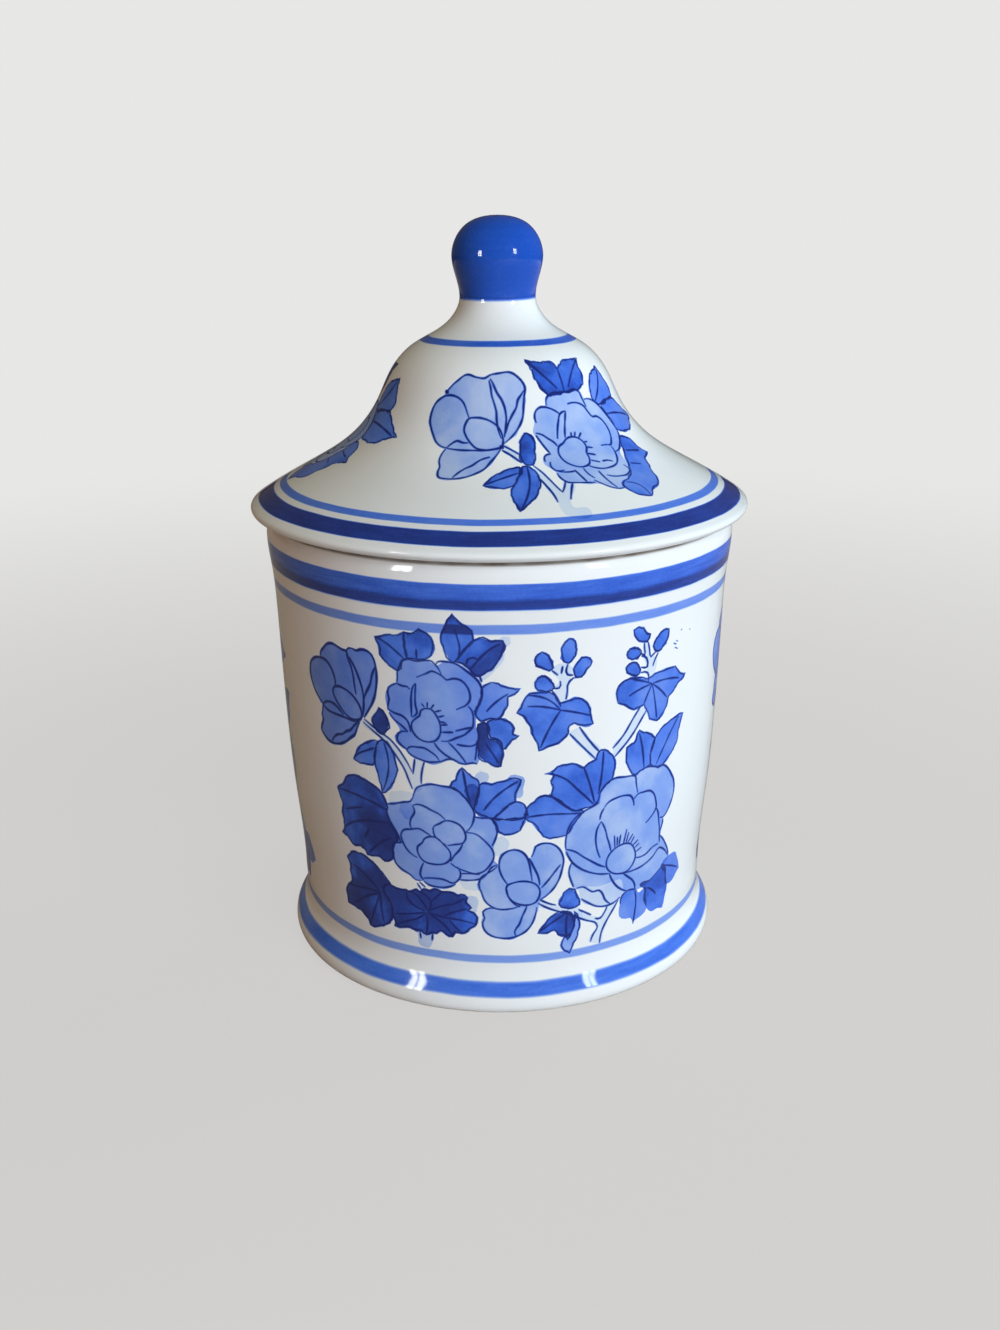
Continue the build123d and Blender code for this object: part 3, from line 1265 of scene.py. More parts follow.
JAR_MOTIFS: tuple[Motif, ...] = (
    # Bud on the left
    Motif(Tone.BLOOM, width=0.52, washes="""
    -45,83.1 -44.8,84.2 -43.6,85.7 -42.1,86.9 -40.2,87.4 -38.6,87.1 -36.4,86.7 -35.2,87.4 -33.5,87.3
    -31.8,87.7 -30.2,87.7 -28.9,86.9 -28.2,85 -27.9,81.9 -28.4,78.5 -29.7,75.1 -31.5,72.1 -32.8,70.8
    -34.2,68.5 -35.5,66.2 -37.8,64.3 -39.7,63.2 -42.8,62.5 -45.7,63.6 -46.8,64.8 -46.2,67 -46,69.5
    -45.2,71.5! -47.8,73.7 -49.3,76 -49.7,78.2 -48.9,81.1 -47,82.5
    """, lines="""
    -45.2,71.6 -46.5,72.5 -47.8,73.7 -49.1,75.8 -49.7,78 -48.9,81.1 -47.6,82.2 -45,83 -42.8,82.7 -41.5,81.6
    -40.7,80.2 -40.2,78.5 -40.5,76.8 / -45,83.1 -44.9,84 -43.6,85.6 -42.1,86.9 -40.2,87.4 -38.6,87
    -37.3,86.6 -36,86.6! -35.7,85.3 -34.9,83.2 -34.4,81.1 -34.2,78.7 -33.9,76.6 / -36,86.6 -35.2,87.4
    -33.9,87.4 -33.1,87.2 -31.8,87.7 -30.2,87.7 -28.9,86.9 -28.3,85.6 -28,84 -27.9,81.9 -28.2,79.3
    -28.7,77.2 -29.7,75 -30.8,73.2 -32,71.4 / -35.3,85.3 -33.9,83.2 -32.8,80.8 -32,78.2 -31.8,75.8 -32,73.5
    -32.4,71.6 / -28.1,84.3 -29.2,81.9 -29.7,80 -30.7,78.2 -31.5,76.6 -31.8,75 / -41.3,75.8 -40.7,76.9
    -39.2,77.4 -37.3,77.2 -34.9,76.1 -33.4,74.5 -32.6,72.7 -32.7,71.4 -34.4,70.3 -36,70.3 -37.6,71.1
    -39.4,72.7 -40.7,74.3 z / -45.2,71.6 -43.9,72.5 -42.3,72.8 -40.7,72.5 -39.4,71.6 -38.1,70.6 / -45.2,71.5
    -43.9,70.6 -41.8,70.3 -38.6,70.2 -34.9,70 -32.8,70.8 / -45.2,71.4 -45.6,70 -46.1,68.7 -45.7,67.7
    -46.4,66.1 -46.8,64.8 -45.7,63.6 -44.2,62.8 -42.8,62.5 -41.3,62.7 -39.7,63.2 -37.8,64.3 -36.3,65.6
    -34.9,66.9 -34.2,68.5 -33.4,70 / -43,62.8 -42.3,63.9 -40.7,65.2 -38.9,65.8 -37.8,66.7 -36.5,67.3
    -34.9,69 -33.4,70.3
    """),
    # Leaves under the bud
    Motif(Tone.DARK, shapes="""
    -27.7,74.5! -26.8,74 -26,73 -25.5,71.4 -25.4,70.3 -26.1,69.3 -27,68.3 -28.4,69 -29.4,70 -29.8,71.1
    -29.3,72.4 -28.5,73.4
    """),
    Motif(Tone.LEAF, lines="""
    -35.7,60.6 -34.2,62.2 -32.3,63.2 -29.7,64.5 / -27,66.4 -26.2,63.5 -26.1,60.3 -26.8,57.2 -28,54.3
    """, shapes="""
    -36.1,60.3! -35.2,61.6 -34.2,63.5 -32.3,65 -30.5,66.1 -28.6,66.4! -29.2,64.5 -29.7,62.4 -29.9,60.8
    -31.3,60 -33.1,59.9 -34.9,60 / -28.5,66.4! -29.2,64.5 -29.7,61.9 -29.5,59.8 -28.9,57.7 -28.5,55.6
    -28.1,53.7! -26.5,54.8 -25.5,56.4 -24.4,58.2 -23.9,60.3 -24.2,62.4 -24.9,64.5 -26,66.6 -27,66.9
    """),
    Motif(Tone.MIST, washes="""
    -32.3,70.9 -29.7,69.8 -27.6,68.7 -25.2,67.4 -23.4,65.6 -21.5,62.9 -20.2,60.3 -19.6,62.4 -19.4,63.7!
    -17,63.6! -17.7,61.3 -18.1,57.7 -18.3,56.6 -20.3,56.1 -21,57.9 -22,60.6 -23.6,63.2 -25.5,65.6 -27.6,67.4
    -29.7,68.7 -32.3,70.3
    """, lines="""
    -32,71.1 -29.7,69.8 -27.6,68.7 -25.2,67.4 -23.4,65.6 -21.5,62.9 -20.2,60.3 / -32.3,70.3 -29.7,68.7
    -27.6,67.4 -25.5,65.6 -23.6,63.2 -22,60.6 -21,57.9 -20.3,56.1 / -19.4,63.7 -19.6,62.4 -20,59.8 /
    -17,63.6 -17.7,61.3 -18.1,57.7
    """),
    # Three dark leaves low on the left
    Motif(Tone.DARK, width=0.5, edge=0.46, lines="""
    -27.5,49.4 -30.5,50.4 -34,51 -38,51.3 -42,51.2 / -34.5,48.4 -37,47.6 -40,46.4 / -27,46.2 -30,45.8
    -33,45.4 -36,44.4 -38.6,43.2 -41.4,41 / -33,43.4 -33.8,41.8 -34.6,40.4 / -26.4,42.4 -29,41 -31.6,38.8
    -34,36.4 / -31.4,26.2 -35,26.4 -38.6,25.8 -42.4,25.2 / -31.6,26 -34.4,25 -37.6,23 -40.8,20.6 /
    -31.8,25.8 -33.2,22.6 -34.4,19.6 -35.4,17 / -31.5,25.8 -31.6,22.6 -31,18.6 / -31.6,26.4 -35,29.4
    -39.8,31.6
    """, shapes="""
    -42.5,51.3! -41,52.2 -39.8,53.2 -39,54.6 -38,55.6 -36.4,56.1 -34,56.1 -31.8,55.4 -29.8,54.6 -28.6,53.6
    -27.6,52 -27.2,50.2 -27.2,48 -26.4,45.8 -25.4,43.8 -25,42 -26,41 -26.4,39.4 -26.6,37.6 -27.4,36.2
    -29.2,35.8 -30.4,36.5 -32.4,36.2 -34.4,35.9! -34.9,37.2 -36.4,37.7 -38.2,37.4 -39.6,38 -40.8,39
    -42.2,39.5! -41.4,41 -41.2,43 -41.4,45 -41,47 -41.5,49 / -41.7,33! -40.6,34.2 -39.2,35.2 -37.2,35.5
    -35.2,35.2 -33,34.2 -31,32.8 -29.6,31.2 -28.2,29.8 -29.4,29.2 -30.4,28 -30.2,26.6 -29.4,25.4 -28.4,23.6
    -28.2,21.6 -28.7,20 -29.4,18.9 -30.4,18.2 -31.4,17.6 -32.6,16.9 -34.2,16.4 -35.6,16.4! -36,17.8
    -37.2,18.8 -38.8,19.5 -41,19.7 -43.2,20! -43.5,22 -43.3,23.8 -42.6,25.2 -41.2,26 -41,27.6 -41.1,29.4
    -40.8,31.4
    """),
    Motif(Tone.DUSK, edge=0.46, lines="""
    -18.4,24.3 -15,26.2 -11.5,27.4 -8.8,29.2 / -18.4,24 -14.5,23.4 -10,23 -6.4,22.2 / -18.4,23.8 -15.8,22.4
    -13.6,20.6 -12.4,18.8 / -18.8,23.6 -18.6,21.5 -19,18.4 / -18.9,23.8 -21,22 -24,20.6 -27.4,18.8 /
    -19.2,23.8 -23,22.8 -27.8,21.6 / -23.6,28.8 -23.8,27.4 -23,26 -21.4,25 -19.2,24.4 / -23.4,28.9
    -21.4,28.4 -19.6,26.6 -18.4,24.6 / -18.2,24.6 -17.4,27 -18.6,28.6 -20.4,29.4 / -17.4,27 -15.6,29
    -14.6,30.1 / -13,22.9 -11.5,21 -10,19.8 / -8.5,26.2 -11.4,25.2 -14.4,23.6
    """, shapes="""
    -30.2,28.6 -28.6,29.4 -27,28.9 -25,28.8 -23.7,29.2! -23.2,28.8 -22,29.2 -21,29.8 -20,29.3 -19,30.3
    -17.6,30 -16.2,30.7 -14.4,30.2 -12.4,30.3 -10.6,29.8 -9,29.9 -8.4,29.2! -8.6,27.8 -7.6,26.6 -8.2,25.8!
    -7,25.2 -6.2,24 -6.2,22.6 -6.9,21.6! -7.8,21.2 -8.4,20.2 -10,19.6 -11.6,19.7 -12.4,18.5! -13.8,18.8
    -15.2,19.6 -16.4,18.9 -17.6,18.6 -19,18 -20.4,18.8 -21.8,18.7 -23.4,19.1 -25,18.6 -26.4,18.5 -27.8,18.4!
    -27.5,20 -28.4,21.4 -28.2,23.4 -29.2,25.4 -30.4,27
    """),
    Motif(Tone.FAINT, washes="-9,30 -7.6,29.6 -6.3,29.4 -6,27.5 -6.2,25.5 -7.5,26"),
    Motif(Tone.FAINT, washes="-21.5,18.2 -21.3,16.6 -20.5,15 -18.6,14.8 -17.3,16.1 -17.3,18.2", lines="""
    -20.7,18.5 -20.5,16.6 / -17.3,18.5 -17.6,16.6
    """),
    # Open flower at the top
    Motif(Tone.ROSE, washes="""
    -22.6,84.3 -21.4,86.6 -20.2,87.2 -18.1,87 -16,87.4 -13.8,86.6 -11.5,87.4 -9.9,87.2 -7.3,85.6 -4.7,83.2
    -4,81.6 -4,79.8 -4.8,77.3 -5.6,75.5 -5.2,73 -5,70 -5.1,67 -5.4,64.2 -7.8,63.4 -9.2,63.7 -11,64.4
    -13.4,63.6 -16,63.2 -18.1,63.6 -20.2,64.4 -21.5,65.5 -23.4,67.2 -23.6,68.4 -22.6,69.9 -23.9,72.2
    -25.4,74.4 -25.3,78.7 -25,80 -22.9,81.3 -22.7,82.7
    """, lines="""
    -22.9,81.4 -22.7,82.7 -22.6,84.3 -22,85.3 -21.4,86.6 -20.2,87.2 -18.1,87 -16,87.4 -14.7,87.3 -13.8,86.5
    -12.6,84.3 / -13.8,86.5 -13.4,87.2 -11.5,87.4 -9.9,87.2 -8.6,86.6 -7.3,85.6 -5.7,84.3 -4.7,83.2 -4,81.6
    -4,79.8 -4.7,77.7 -5.7,76.1 / -18.2,83.2 -17.3,83.7 -16,84.3 -14.7,85 -13.4,84.6 -12.4,84 -11.5,83.2
    -10.2,83.6 -8.6,83.4 -7.3,82.2 -6.6,80.6 -6.6,78.7 -7.6,77.4 -8.6,76.9 -9.6,76.4 / -7,77.4 -6.1,76.1
    -5.9,74 -6.1,72.4 -6.8,71.6 -7.8,70.6 -9.7,69.7 -11.5,68.8 -13.1,68.7 / -6.1,72.4 -8.1,71.9 -9.9,71.3 /
    -16.5,76.1 -15.2,76.1 -14.2,75 -13.5,73.7 -13.1,71.9 -13.4,70 -14.2,68.8 -15.7,68.2 -17.3,68.3
    -18.9,69.3 -19.8,70.8 -19.7,72.4 -18.6,73.6 -17.8,74.3 -17.5,75.5 z / 0.4:-16.6,76.4 -17.3,77.2 /
    0.4:-16,76.4 -15.9,77.7 / 0.4:-15.2,76.2 -14.4,77.3 / 0.4:-14.4,75.5 -12.8,76 / 0.4:-13.8,74.3
    -12.2,74.8 / 0.4:-13.5,73.4 -11.8,73 / 0.4:-13.2,72.5 -11.5,72.7 / 0.4:-13.1,70.8 -10.3,71 / -18.4,81.8
    -19,81.1 -19.6,78.7 -19.7,76.1 -19.7,73.7 / -18.4,81.8 -18.7,78.7 -18.7,76.6 -18.4,74.8 -19.6,73.7 /
    -22.9,81.2 -21.5,80.8 -20.5,80.8 -19.8,80.2 / -22.9,81.2 -24.2,80.6 -25,79.9 -25.3,78.7 -25,77.2
    -25.4,75.6 -25.4,74.5 / -25.4,74.8 -23.9,74.1 -22,73.7 -21,73 -20.3,71.6 -20.1,70 / -25.2,74 -23.9,72.4
    -22.3,71.4 -20.7,70 / -21,70 -22,70 -23.1,69.3 -23.5,67.7 -22.6,66.6 -21.3,65.8 / -21.3,65.6 -20.5,66.4
    -18.6,66.6 -17,66.6 -15.5,65.8 -14.2,64.8 -13.6,63.7 / -21.3,65.6 -20.2,64.5 -18.1,63.7 -16,63.3
    -14.4,63.5 -13.4,63.7 -11.5,64.5 -10.5,64.5 -9.2,63.7 -7.8,63.5 -6.3,63.9 -5.2,63.7 / -14.7,68.2
    -13.6,66.6 -12,65.3 -10.5,64.5 / -11.5,68.5 -10.2,67.2 -8.9,65.6 -7.6,63.6 / -9.7,68.2 -7.8,67.9
    -5.9,68.1 -5.2,68.7 / -5.2,69.3 -5.4,66.6 -5.7,64.5
    """),
    # Four leaves over it
    Motif(Tone.DEEP, lines="""
    -27.6,91.3 -25,90.3 -23,88.9 -21,87.3 / -18,89.8 -18,87.6 / -9.5,95 -8.9,92.8 -8.5,90.5 -8.8,89 / 0,91.8
    -2.5,90.3 -4.3,88.5 -5.5,87 -6.4,85.8 / 0.4:-7.2,87 -6.8,88.2 -5.7,88.6 -4.7,88.2 / -4.4,84.5 -4,83
    """, shapes="""
    -27.8,91.4! -26,91.8 -24,92.4 -22,92.5 -20.6,93.5! -20.9,91 -20.5,89.3 -20.3,87.4! -21.4,86.5 -21.8,85
    -22.6,84! -24.5,85.3 -26,86.4 -26.6,87.5 -26.6,88.8 -27.3,90.4 / -20.3,87.4! -20.6,90 -20.6,93.3!
    -18.9,93.3 -17.2,94.3! -15.5,93.6 -14.7,92.7 -14.1,91.1 -14.5,89.5 -15.3,88 -16,87.6 -18,87.5 /
    -10,87.1! -10.8,87.8 -11.6,89.3 -12.1,91 -12.4,92.8 -12.1,94.3 -11.3,95.6 -10.8,96.9 -9.9,98.4!
    -8.5,96.6 -7,95.8 -6,94.6 -5.6,93.5 -5.6,92.5! -6.8,91.3 -8,89.8 -9,88.3 / -9.6,87.4! -8,89.5 -7,91
    -5.5,92.5 -3.5,93.2 -2.5,92.6 -1,92.5 0.4,92.4 0.9,91.4 0.3,90 -0.2,88.4 -1.2,86.8 -2.8,85.4 -4.4,84.5
    -5.5,84.8 -6.5,85.8 -7.3,86.8
    """),
    Motif(Tone.MIST, washes="""
    -0.6,92.6 1.7,93 1.9,92 1,91 0.6,89.8 0.5,88 -0.3,86.3 -2,85 -3.5,83.8 -5.5,83.2 -6.8,83.8 -7.6,85
    -8,86.2 -9.5,86.6 -7,86.4 -4.4,84.6 -1.2,87 0.3,90
    """),
    # Leaves to the right of it
    Motif(Tone.THIN, lines="1.6,80.3 -0.7,78.7 -3.1,76.1", shapes="""
    -4,81.6 -3.6,82.2 -2,82.8 -0.5,82.7 0.8,81.9 2.4,81.5 4,81.4! 2.9,80.3 1.6,79.5 1.4,77.7 0.8,76.4
    -0.2,74.8 -2.3,74.5 -4.2,74 -5.6,75.6 -4.6,77.8 -4,79.8
    """),
    Motif(Tone.LEAF, shapes="""
    -2.8,74 -1.3,74.3 0.8,74.3 1.9,73.5 2.7,72.2 2.5,70.8 3.7,70.3! 2.4,69.3 1.4,68.2 0.3,67.2 0,68.7
    -0.7,69.8 -2.3,70 -2.8,72
    """),
    Motif(Tone.DARK, lines="-3.4,68.7 -1.8,66.1 -0.6,63.9", shapes="""
    -4.7,73 -4.8,70.8 -4.9,67.7 -4.7,65 -2.8,64 -1.3,63.2 -0.1,63.2! 0,64.5 0.2,66.1 -0.1,68.2 -1.3,69.5
    -2.6,69.8 -2.8,73 -3.6,73.7
    """),
    # Open flower low on the left
    Motif(Tone.PETAL, washes="""
    -27,51.1 -24.9,51.6 -22.8,52.4 -21,52.9 -20.3,54 -19.9,55.3 -19.2,56.6 -17.6,57.4 -15.7,57.9 -13.4,57.7
    -10.7,57.4 -9.2,56.4 -7.8,54.8 -6.8,53.2 -6.1,51.6 -6.3,50.6! -4.4,50.3 -2.6,50.3 -1.5,49.3 -1,47.2
    -1.5,45 -2.3,43.2 -1.9,41.4 -2,39.8 -1,38.3 -2.3,37.7 -3.4,36.1 -5.2,34.5 -7.6,34 -10.2,34 -11,32.7
    -12.3,31.9 -15,31.4 -17.6,31.6 -18.9,32.4 -21,32.4 -22.3,33.5 -24.4,34.5 -26,35.8 -26.5,37.7 -26.5,39.8
    -26,41.4 -24.4,41.6 -24.7,43.5 -25.7,45.3 -26.8,47.2 -27.3,49.3 / -23.9,51.4 -22,52.3 -20.7,51.9
    -20.1,50.3 -21,48.5 -22.6,48.7 -23.9,50
    """, lines="""
    -20.3,54 -19.9,55.3 -19.2,56.6 -17.6,57.4 -15.7,57.9 -13.4,57.7 -10.7,57.4 -9.2,56.4 -7.8,54.8 -6.8,53.2
    -6.1,51.6 -6.3,49.8 -7,47.9 -8.4,46.4 / -20.3,54 -21,52.9 -22.8,52.4 -24.9,51.6 -27,51.1 / -20.5,51.9
    -19.4,52.4 -17.8,52.2 -16,51.4 -14.2,50.6 -12.8,49.3 / -20.5,51.9 -20.1,50.3 -21,48.7 -21.4,46.6
    -21,45.8 / -16,46.4 -15.5,47.4 -14.2,48.2 -12.8,49.1 -11,49 -9.4,48.2 -8.4,46.6 -8.2,45 -8.9,43.7
    -10.7,43.2 -12.6,42.7 / -15.7,46.9 -15.5,45 -14.2,43.7 -12.8,42.7 / -16.5,44.8 -17.8,45.6 -19.2,46.2
    -21,45.8 -23.4,45 -24,43.7 -23.6,41.9 -22.3,39.8 -20.1,38.5 / -16.5,44.6 -18.1,43.7 -18.6,42.7
    -19.9,41.4 -19.8,39.5 -18.6,37.9 -15.7,37.4 -13.4,37.9 -12,39.3 -12,41.1 -13.4,42.9 -15.2,44.5 z /
    -8.2,46.4 -5.7,46.1 -4.2,44.8 -2.8,43.2 -1.9,41.4 -2,39.8 -2.8,38.2 -4.2,36.6 -6,35.8 -8.6,36.4
    -10.7,37.2 -12,38.2 / -8.9,43.7 -9.7,41.9 -11,40.3 -12,38.6 / -6.3,50.6 -4.4,50.3 -2.6,50.3 -1.5,49.3
    -1,47.2 -1.5,45 -2.3,43.2 / -27,51.1 -27.3,49.3 -26.8,47.2 -25.7,45.3 -24.7,43.5 -24.4,41.6 -26,41.4
    -26.5,39.8 -26.5,37.7 -26,35.8 -24.4,34.5 -22.3,33.5 -21,32.4 -19.7,32.4 / -24.9,41.6 -23.6,41.9 /
    -18.6,37.4 -19.4,35.6 -19.7,34 -18.9,32.7 / -18.9,33.2 -16.5,33.6 -13.9,33.6 -11.5,32.9 -10.2,34
    -9.7,35.6 -10.5,37.4 / -18.9,32.4 -17.6,31.6 -15,31.4 -12.3,31.9 -11,32.7 / -20.7,31.6 -19.7,30 /
    -20.1,32 -18.6,30.8 / -9.7,35.6 -7.6,35.8 -5.2,35.7 / -10.2,34 -7.6,34 -5.2,34.5 -3.4,36.1 -2.3,37.7
    -1,38.3
    """),
    Motif(Tone.MIST, washes="""
    -2,44.8 0.6,45.2 1.5,43.6 1.2,41.6 -1.8,41.2 / -9.6,33.9 -5.6,33.9 -5,32.4 -7,31.4 -9.4,31.9 / -26.4,52
    -25.6,54.6 -23,55 -20.6,54.6 -21.2,53.2
    """),
    # Leaves to the right of that flower
    Motif(Tone.THIN, washes="-7,58.6 -5.2,58.4 -5.4,55.4 -6.2,53 -7.6,54.6", lines="""
    -8.5,62.2 -8.1,59.6 -7.7,57 -6.9,54.2
    """, shapes="""
    -11.3,57.7! -10.8,59 -10.1,59.6 -9.6,61 -8.6,62.7! -7.6,61.4 -6.4,60.6 -5.3,59.8 -4.9,58.4 -5.1,56.8
    -5.6,55 -6.2,52.8 -7.2,54 -8.4,55.6 -9.8,56.9
    """),
    Motif(Tone.LEAF, lines="3.7,59.4 1,57.7 -1.6,55.4 -4,52.2", shapes="""
    -4.9,58.4 -3.6,59 -2.2,58.8 -0.8,59.2 0.6,59.5 1.8,60.1 3.2,60.1 4.4,59.8! 3.9,58.4 3.3,57.2 3,55.8
    2.9,54.4! 1.2,53.2 -0.4,51.6 -1.8,50.3 -3.6,50.8 -5,51.3 -6.1,52.6 -5.6,54.8 -5.1,56.8
    """),
    Motif(Tone.THIN, lines="1.0:4.9,51 6,51.1", shapes="""
    2.9,54.4 4,54.4 5,53.4 5.6,52 5.2,50.6 3,50.2 0.6,50.1 -1.8,50.3 -0.4,51.6 1.2,53.2 / -2.2,50 0,49.9
    3,49.9 5.2,50.1! 4.7,48.6 4,47.3 2.7,46.3 0.6,46.3 -0.8,47 -1.3,48.6
    """),
    Motif(Tone.PALE, washes="1.6,60.3 3,60.7 4.6,60.2 5,58.6 4.8,56.8 4,55.4 3,55.6 3.4,57.4 4.4,59.6"),
    Motif(Tone.FAINT, washes="-5.7,60.2 -3.6,61.9 -2.8,60.6 -4.4,59.2"),
    # Small flower low in the middle
    Motif(Tone.BLUSH, washes="""
    1.4,41.9 2.9,42.2 4.5,41.6 5.6,40.3! 6.7,40 7.3,41.4 7.7,42.7 9.3,43.4 11.1,43.2 12.7,42.2 13.7,40.8
    14.3,39 14,35.6 13.2,32.9 11.9,30.8 10.3,29.3 9,28.5 8.3,26.6 7.9,24.5 7.2,22.4 5.6,20.3 3.2,19 1.4,18.6
    -0.7,18.7 -2.8,19.3 -4.3,20.6 -4.8,22.7 -4.3,24 -4.7,25.6 -3.9,26.4 -2.8,27.2 -4.2,28.7 -4.9,30.8
    -5.5,32.9 -4.9,34.8 -2.6,36.6 -1,38 -0.6,39.3 0,40.8
    """, lines="""
    1.4,32.9 0.8,33.7 -0.2,35.6 -0.7,37.7 -0.6,39.3 0,40.8 1.4,41.9 2.9,42.2 4.5,41.6 5.6,40.3 6.2,38.7
    6.6,36.4 7,33.7 / 6.7,40 7.3,41.4 7.7,42.7 9.3,43.4 11.1,43.2 12.7,42.2 13.7,40.8 14.3,39 14,35.6
    13.2,32.9 11.9,30.8 10.3,29.3 9,28.5 / 6.2,39.8 7.4,37.2 8.5,34.5 8.8,32.4 / 13.7,37.4 12.7,36.1
    10.8,33.5 9.2,31.6 / 1.1,32.7 2.7,33.5 5.6,33.7 7.7,32.9 8.8,31.4 8.8,29.5 7.9,27.9 6.1,27.3 4,27.6
    2.2,28.7 1.1,30.6 z / -1,38 -2.6,36.6 -4.9,34.8 -5.5,32.9 -4.9,30.8 -4.2,28.7 -2.8,27.2 -1.3,26.5
    1.4,26.4 3.5,26.9 4.3,27.4 / 1.1,31.6 1.4,29.8 2.7,27.9 4.3,26.9 / -1.8,26.6 -3.9,26.4 -4.7,25.6 -4.3,24
    -4.8,22.7 -4.3,20.6 -2.8,19.3 -0.7,18.7 1.4,18.6 3.2,19 5.6,20.3 7.2,22.4 7.9,24.5 8.2,26.6 / 3.2,19
    2.9,20.3 4,22.2 4.8,24.5 5.6,26.4 5.8,27.2
    """),
    Motif(Tone.MIST, washes="""
    9,28.3 11,27.3 13,26.6 19.8,23.4 19.8,21.7 16.1,23.7 13.5,24.8 10.8,26.1 8.5,27.6
    """, lines="""
    9,28.5 10.8,27.4 12.9,26.6 / 8.5,27.6 10.8,26.1 13.5,24.8 16.1,23.7 19.8,21.6 / 18.7,24.5 19.9,23.5
    """),
    Motif(Tone.DEEP, lines="8.9,19.8 11.9,21.9 15.6,24 / 15.8,23.7 15.6,20.3 15.8,17.4", shapes="""
    16.1,30.6! 17.4,30 17.9,28.7 18.7,27.2 18.8,25.8 17.9,25.2 16.1,25.3 14.3,25.8 13.8,26.9 14.3,28.2
    14.8,29.5 / 8.5,19.5! 9.8,21.1 11.1,22.9 12.9,24.3 14.8,24.6 16.6,24 17.4,22.4 17.7,20.3 16.9,18.2
    16.1,16.9! 15.6,17.7 13.7,18.7 12.7,19.8 10.8,19.4
    """),
    Motif(Tone.PETAL, shapes="""
    17.7,24! 18.7,22.4 19.1,20.3 18.6,17.7 17.7,15.6 16.6,13.2! 15.3,14 14.6,15.6 15,17.4 16.5,18 17.6,20.3
    """),
    # Sprigs of berries, each with its leaf
    Motif(Tone.LEAF, shapes="""
    7.2,87.9 7.7,89.2 8.7,89.5 10,88.7 10.8,87.2 11.1,85.8 10.3,85.3 9,85.8 7.7,86.6 / 14.5,92.2 15.8,91.4
    16.1,89.5 15.6,87.7 14.5,86.6 13.5,87.2 12.9,89 13.2,90.8 / 17.4,87.4 19.3,87.2 19.7,86.4 18.7,84.8
    17.4,83.2 16.1,83.2 15.7,84.3 16.1,86.1 / 7.2,82.7 7.9,83.7 9.3,84 10.6,82.9 11.3,81.4 10.3,80.4
    8.7,80.7 7.4,81.5 / 30,91.9 31.1,92.5 32.4,92 33.2,90.8 34.5,90.2 33.7,88.8 32.4,88.8 30.8,89.8 30,90.8
    / 40.3,90.2 39.3,90.4 37.7,89.9 36.4,88.7 35.7,87.2 36,86.1 37.4,85.7 38.7,86.6 39.9,87.9 40.3,89.3 /
    28.2,86.6 29,87.7 30.3,87.9 31.6,87.2 32.2,86.1 31.1,85.3 29.8,85.3 28.6,85.8 / 28.2,83.5 29,84.4
    30.3,84.4 31.6,83.5 32.2,82.2 31.1,81.1 29.8,81.5 28.7,82.4
    """),
    Motif(Tone.LEAF, lines="""
    12.9,75.8 10.3,71.4 8.5,67.2 / 12.9,75.8 9.3,76.9 5.6,77.2 / 12.9,75.8 9.8,78.7 5.6,79.8 / 12.9,75.8
    16.1,75 19.8,73.7 / 35.8,78.2 32.4,77.7 29.3,76.6 / 35.8,78.2 32.9,79.5 30.3,80.4 / 35.8,78.2 34.5,75.8
    33.5,73.7 / 35.8,78.2 36.9,74 37.7,69.5 / 35.8,78.2 38.5,76.1 40.8,73.7 / 35.8,78.2 40.8,78.2 45,77.3
    """, shapes="""
    12.9,77.5 11.5,79.2 10.3,80.3 8.7,80.2 6.1,80.3! 5,78.7 4.5,77.7 3.5,75.8! 4.8,75 5.6,73.7 6.4,72.7
    6.7,70.8 7.7,68.7 8.2,66.6! 10.3,67.4 12.4,68.2 14.3,69.5 15,71.9 16.1,72.4 17.9,71.6 20.3,71.8!
    19.7,74.5 18.8,77 16,78.2 14.5,77.8 / 34.5,79.8 32.4,80.4 30.3,80.7 28.7,80.6 27.2,80.2 26.2,78.7
    26,77.2 26.6,75.6 28.2,74.8 29.3,74 30.8,73.2 32.4,73.4 33.7,73.7 34.3,72.2 35,71.4 35.6,69.8 36.6,69.2
    37.9,68.8! 39.3,69.7 40.3,70.8 41.1,72.4 41.4,73.7 42.4,74.3 44,75.5 45.3,76.7 46.2,76.9 47.4,77.7!
    46,77.9 44.5,79.3 43.2,80.4 41.4,80.7 39.3,80.4 37.2,80.6 35.8,80
    """),
    Motif(Tone.MIST, washes="""
    11,85 13,86.5 14.5,86 15.5,84 14.5,81.5 14.2,78.5 12.5,78.5 11,80.5 12.4,82.5 / 33,88.5 34.2,88
    35.5,84.8 36.5,84 35.5,80 34.6,79 34.2,81 33.5,84 / 17.2,71.4 19.3,68.2 22.3,64.5 21.4,62.9 17.7,66.9
    15,70 / 32.9,73.7 30.8,71.1 28.2,67.4 25.5,64.8 26,62.5 28.2,64.5 30.8,67.2 32.9,70 34.5,72.2
    """, lines="""
    10.8,85.3 12.2,84 / 13.2,86.1 12.9,84.3 / 14.3,86.4 14.3,84 15.6,83.7 / 12.7,82.7 12.5,81.1 11.1,81.1 /
    15.8,83.2 14.3,81.4 14.3,80.3 14,78.2 / 10.8,80.6 11.9,79 12.9,76.6 / 32.9,88.8 33,87.2 33.2,85.6
    32.2,86.1 / 34,88.5 34.5,86.6 35,84.8 35.8,85.3 36.6,85.8 / 32.2,85.6 33.7,84.8 34.1,82.7 32.2,82.9 /
    32.2,81.6 34.3,81.1 34.5,78.7 / 37.2,85.3 36.1,83.5 35.7,82.4 / 17.2,71.4 19.3,68.2 22.3,64.5 / 15,70
    17.7,66.9 21.4,62.9 / 32.9,73.7 30.8,71.1 28.2,67.4 25.5,64.8 / 34.5,72.2 32.9,70 30.8,67.2 28.2,64.5
    26,62.5
    """),
    # Leaves round the large flower
